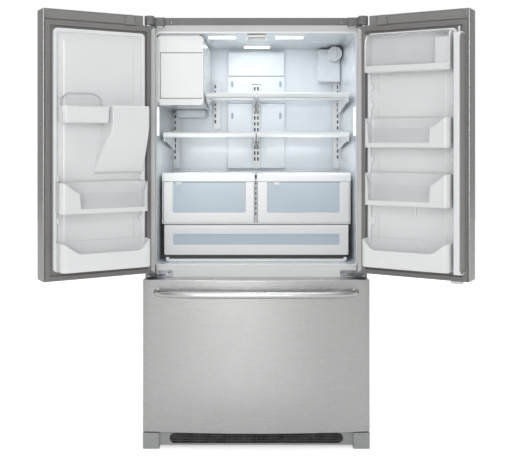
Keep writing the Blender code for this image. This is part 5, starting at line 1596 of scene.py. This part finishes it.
def buildDrawerLiner():
    low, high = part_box("freezer_drawer_liner")
    plate = slab(rectangle((low.x, low.z), (high.x, high.z)), "y", low.y + 0.0022, high.y - 0.006, 0.004,
                 0.001)
    top, base = high.y - 0.0003, high.y - 0.006
    profile = [(0.0, base - 0.001)]
    profile += [(inset, top + 0.0002 if level is None else level) for inset,
                level in rolled(0.016, top, 0.003, 3)]
    profile += [(inset, base + rise) for inset, rise in
                ((0.0185, 0.0008), (0.04, 0.0011), (0.0425, 0.003), (0.046, 0.0036))]
    wide, foot, head = drawerLiner["ring"], drawerLiner["ringLow"], drawerLiner["ringHigh"]
    formedPan = dish((-wide, foot), (wide, head), "y", profile, drawerLiner["corner"])
    piece("drawer_formed_liner", gather(plate, formedPan), "linerWhite", "freezer_drawer",
          "freezer_drawer_liner")


def buildDrawerSeal():
    low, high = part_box("freezer_gasket")
    bm = bellows(((low.x, low.z), (high.x, high.z)), 0.019, "y", low.y, high.y - low.y)
    piece("drawer_seal", bm, "gasketGrey", "freezer_drawer", "freezer_gasket")


drawerBar = {"thick": 0.028}


def buildDrawerHandle():
    low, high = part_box("freezer_handle")
    radius, z = drawerBar["thick"] / 2, (low.z + high.z) / 2
    foot = drawerFront(0.364) + 0.01
    path = [(along, foot - out, z) for along, out in bowPath(high.x - radius * 0.86 - 0.0012,
                                                             foot - low.y - radius - 0.0008)]
    bm = bar(path, radius - 0.0006, 0, 18, handleWidth)
    piece("drawer_bar", bm, "handleSteel", "freezer_drawer", "freezer_handle")


basket = {"wall": 0.0028, "corner": 0.03, "taper": 0.018, "lip": 0.01, "rim": 0.0125, "ribs": 13,
          "ribFrom": 0.09}


def ribbedTray(low, high):
    # a drawer basket: tapered tub, rolled rim, and ribs up its front and back walls
    bm = tray((low.x + 0.004, low.y + 0.004, low.z), (high.x - 0.004, high.y - 0.004, high.z - 0.002),
              basket["wall"], basket["corner"], basket["taper"] * (high.z - low.z) / 0.28)
    rim = ring(*border(low[:2], high[:2], basket["rim"]), "z", high.z - basket["lip"], high.z,
               (basket["corner"], basket["corner"] - 0.008), 0.0024, 3)
    parts = [bm, rim]
    start, ribs = basket["ribFrom"], basket["ribs"]
    for i in range(ribs):
        x = low.x + start + (high.x - low.x - 2 * start) * i / (ribs - 1)
        for y in (low.y + 0.0045, high.y - 0.0075):
            parts.append(block((x - 0.004, y, low.z + 0.045), (x + 0.004, y + 0.003, high.z - 0.014),
                               0.0013))
    return gather(*parts)


def buildBaskets():
    for level, body in (("lower", "freezer_drawer"), ("upper", "freezer_basket")):
        low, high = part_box(level + "_basket")
        piece(level + "_basket_tub", ribbedTray(low, high), "linerWhite", body, level + "_basket")
    lip = ring(((low.x + 0.0015, low.y + 0.001), (high.x - 0.0015, low.y + 0.02)),
               ((low.x + 0.2, low.y + 0.004), (high.x - 0.2, low.y + 0.014)), "z",
               high.z - 0.0035, high.z - 0.0002, (0.008, 0.004), 0.0012)
    piece("upper_basket_grip", lip, "trimWhite", "freezer_basket")


buildDrawerFront()
buildDrawerLiner()
buildDrawerSeal()
buildDrawerHandle()
buildBaskets()
print("freezer done")

# stage
studio = {"floor": (0.93, 0.93, 0.925), "glow": 0.6, "key": 37.0, "fill": 18.0, "rim": 14.0,
          "inside": 0.8, "sky": 0.94, "sides": 0.36, "bounce": 3.4, "backdrop": 1.0,
          "eye": (0.0, depth(-3.3), 1.229), "lens": 56.82, "shift": (-0.0016, -0.185)}


def buildStage():
    bm = bmesh.new()
    bmesh.ops.create_grid(bm, x_segments=8, y_segments=8, size=9.0)
    mesh = bpy.data.meshes.new("floor")
    bm.to_mesh(mesh)
    bm.free()
    floor = bpy.data.objects.new("floor", mesh)
    bpy.context.scene.collection.objects.link(floor)
    material = bpy.data.materials.new("floorPaint")
    material.use_nodes = True
    shader = material.node_tree.nodes["Principled BSDF"]
    setPlain(shader, {"Base Color": (*studio["floor"], 1.0), "Roughness": 0.7,
                      "Emission Color": (1, 1, 1, 1)})
    # a floor that looks as white as the backdrop, without lighting the object more
    seen = addNode(material.node_tree, "LightPath").outputs["Is Camera Ray"]
    wire(material.node_tree, reckon(material.node_tree, "MULTIPLY", seen, studio["glow"]),
         shader.inputs["Emission Strength"])
    mesh.materials.append(material)


def addArea(name, place, aim, size, power, tone=(1.0, 1.0, 1.0)):
    light = bpy.data.lights.new(name, "AREA")
    light.shape = "RECTANGLE"
    light.size, light.size_y = size
    light.energy = power
    light.color = tone
    obj = bpy.data.objects.new(name, light)
    obj.location = place
    obj.rotation_euler = (Vector(aim) - Vector(place)).to_track_quat("-Z", "Y").to_euler()
    bpy.context.scene.collection.objects.link(obj)
    return obj


def buildLights():
    key, fill, rim, inside = studio["key"], studio["fill"], studio["rim"], studio["inside"]
    for name, place, size, power in (("frontSoftbox", (-0.45, -4.3, 1.7), (1.3, 2.4), key),
                                     ("leftSoftbox", (-3.6, -0.6, 1.8), (1.4, 2.4), rim),
                                     ("rightSoftbox", (3.6, -0.6, 1.8), (1.4, 2.4), rim),
                                     ("backSoftbox", (0.8, 4.0, 2.6), (2.4, 2.0), fill)):
        addArea(name, place, (0, 0, 0.9), size, power)
    addArea("topSoftbox", (0.0, -0.8, 4.2), (0, 0, 0.8), (3.0, 2.4), fill)
    for wide, share in ((0.3, 0.22), (0.62, 0.36), (1.05, 0.42)):
        bounce = addArea("floorReflector", (-0.13, -2.1, 0.03), (-0.13, -2.05, 2.0), (wide, 3.0),
                         studio["bounce"] * share)
        bounce.visible_camera = False
    cool, lampZ = (0.9, 0.96, 1.0), openTop - 0.01
    for x, y, share in ((0.1, 0.16, 1.0), (0.0, 0.42, 0.4)):
        addArea("roomLamp", (x, depth(y), lampZ), (x, depth(y), 0), (0.42, 0.1), inside * share, cool)
    for x in (-0.2, 0.2):
        addArea("lowLamp", (x, depth(0.06), 1.185), (x, depth(0.3), 1.12), (0.3, 0.03), inside * 0.35, cool)
    world = bpy.data.worlds.new("studioAir")
    bpy.context.scene.world = world
    world.use_nodes = True
    air = world.node_tree
    # the backdrop is a brighter white than the light that it gives
    seen = addNode(air, "LightPath").outputs["Is Camera Ray"]
    split = addNode(air, "SeparateXYZ")
    wire(air, addNode(air, "TexCoord").outputs["Generated"], split.inputs[0])
    aside = reckon(air, "ABSOLUTE", split.outputs["X"], 0.0)
    given = remap(air, aside, 0.1, 0.62, studio["sky"], studio["sky"] * studio["sides"])
    parts = [reckon(air, "MULTIPLY", given, reckon(air, "SUBTRACT", 1.0, seen)),
             reckon(air, "MULTIPLY", seen, studio["backdrop"])]
    wire(air, reckon(air, "ADD", *parts), air.nodes["Background"].inputs["Strength"])
    setPlain(air.nodes["Background"], {"Color": (1, 1, 1, 1)})


def buildCamera():
    camera = bpy.data.cameras.new("camera")
    camera.lens = studio["lens"]
    camera.sensor_width = 36.0
    camera.shift_x, camera.shift_y = studio["shift"]
    obj = bpy.data.objects.new("camera", camera)
    obj.location = studio["eye"]
    obj.rotation_euler = (math.pi / 2, 0, 0)
    bpy.context.scene.collection.objects.link(obj)
    bpy.context.scene.camera = obj


bpy.context.scene.view_settings.view_transform = "Standard"
buildStage()
buildLights()
buildCamera()
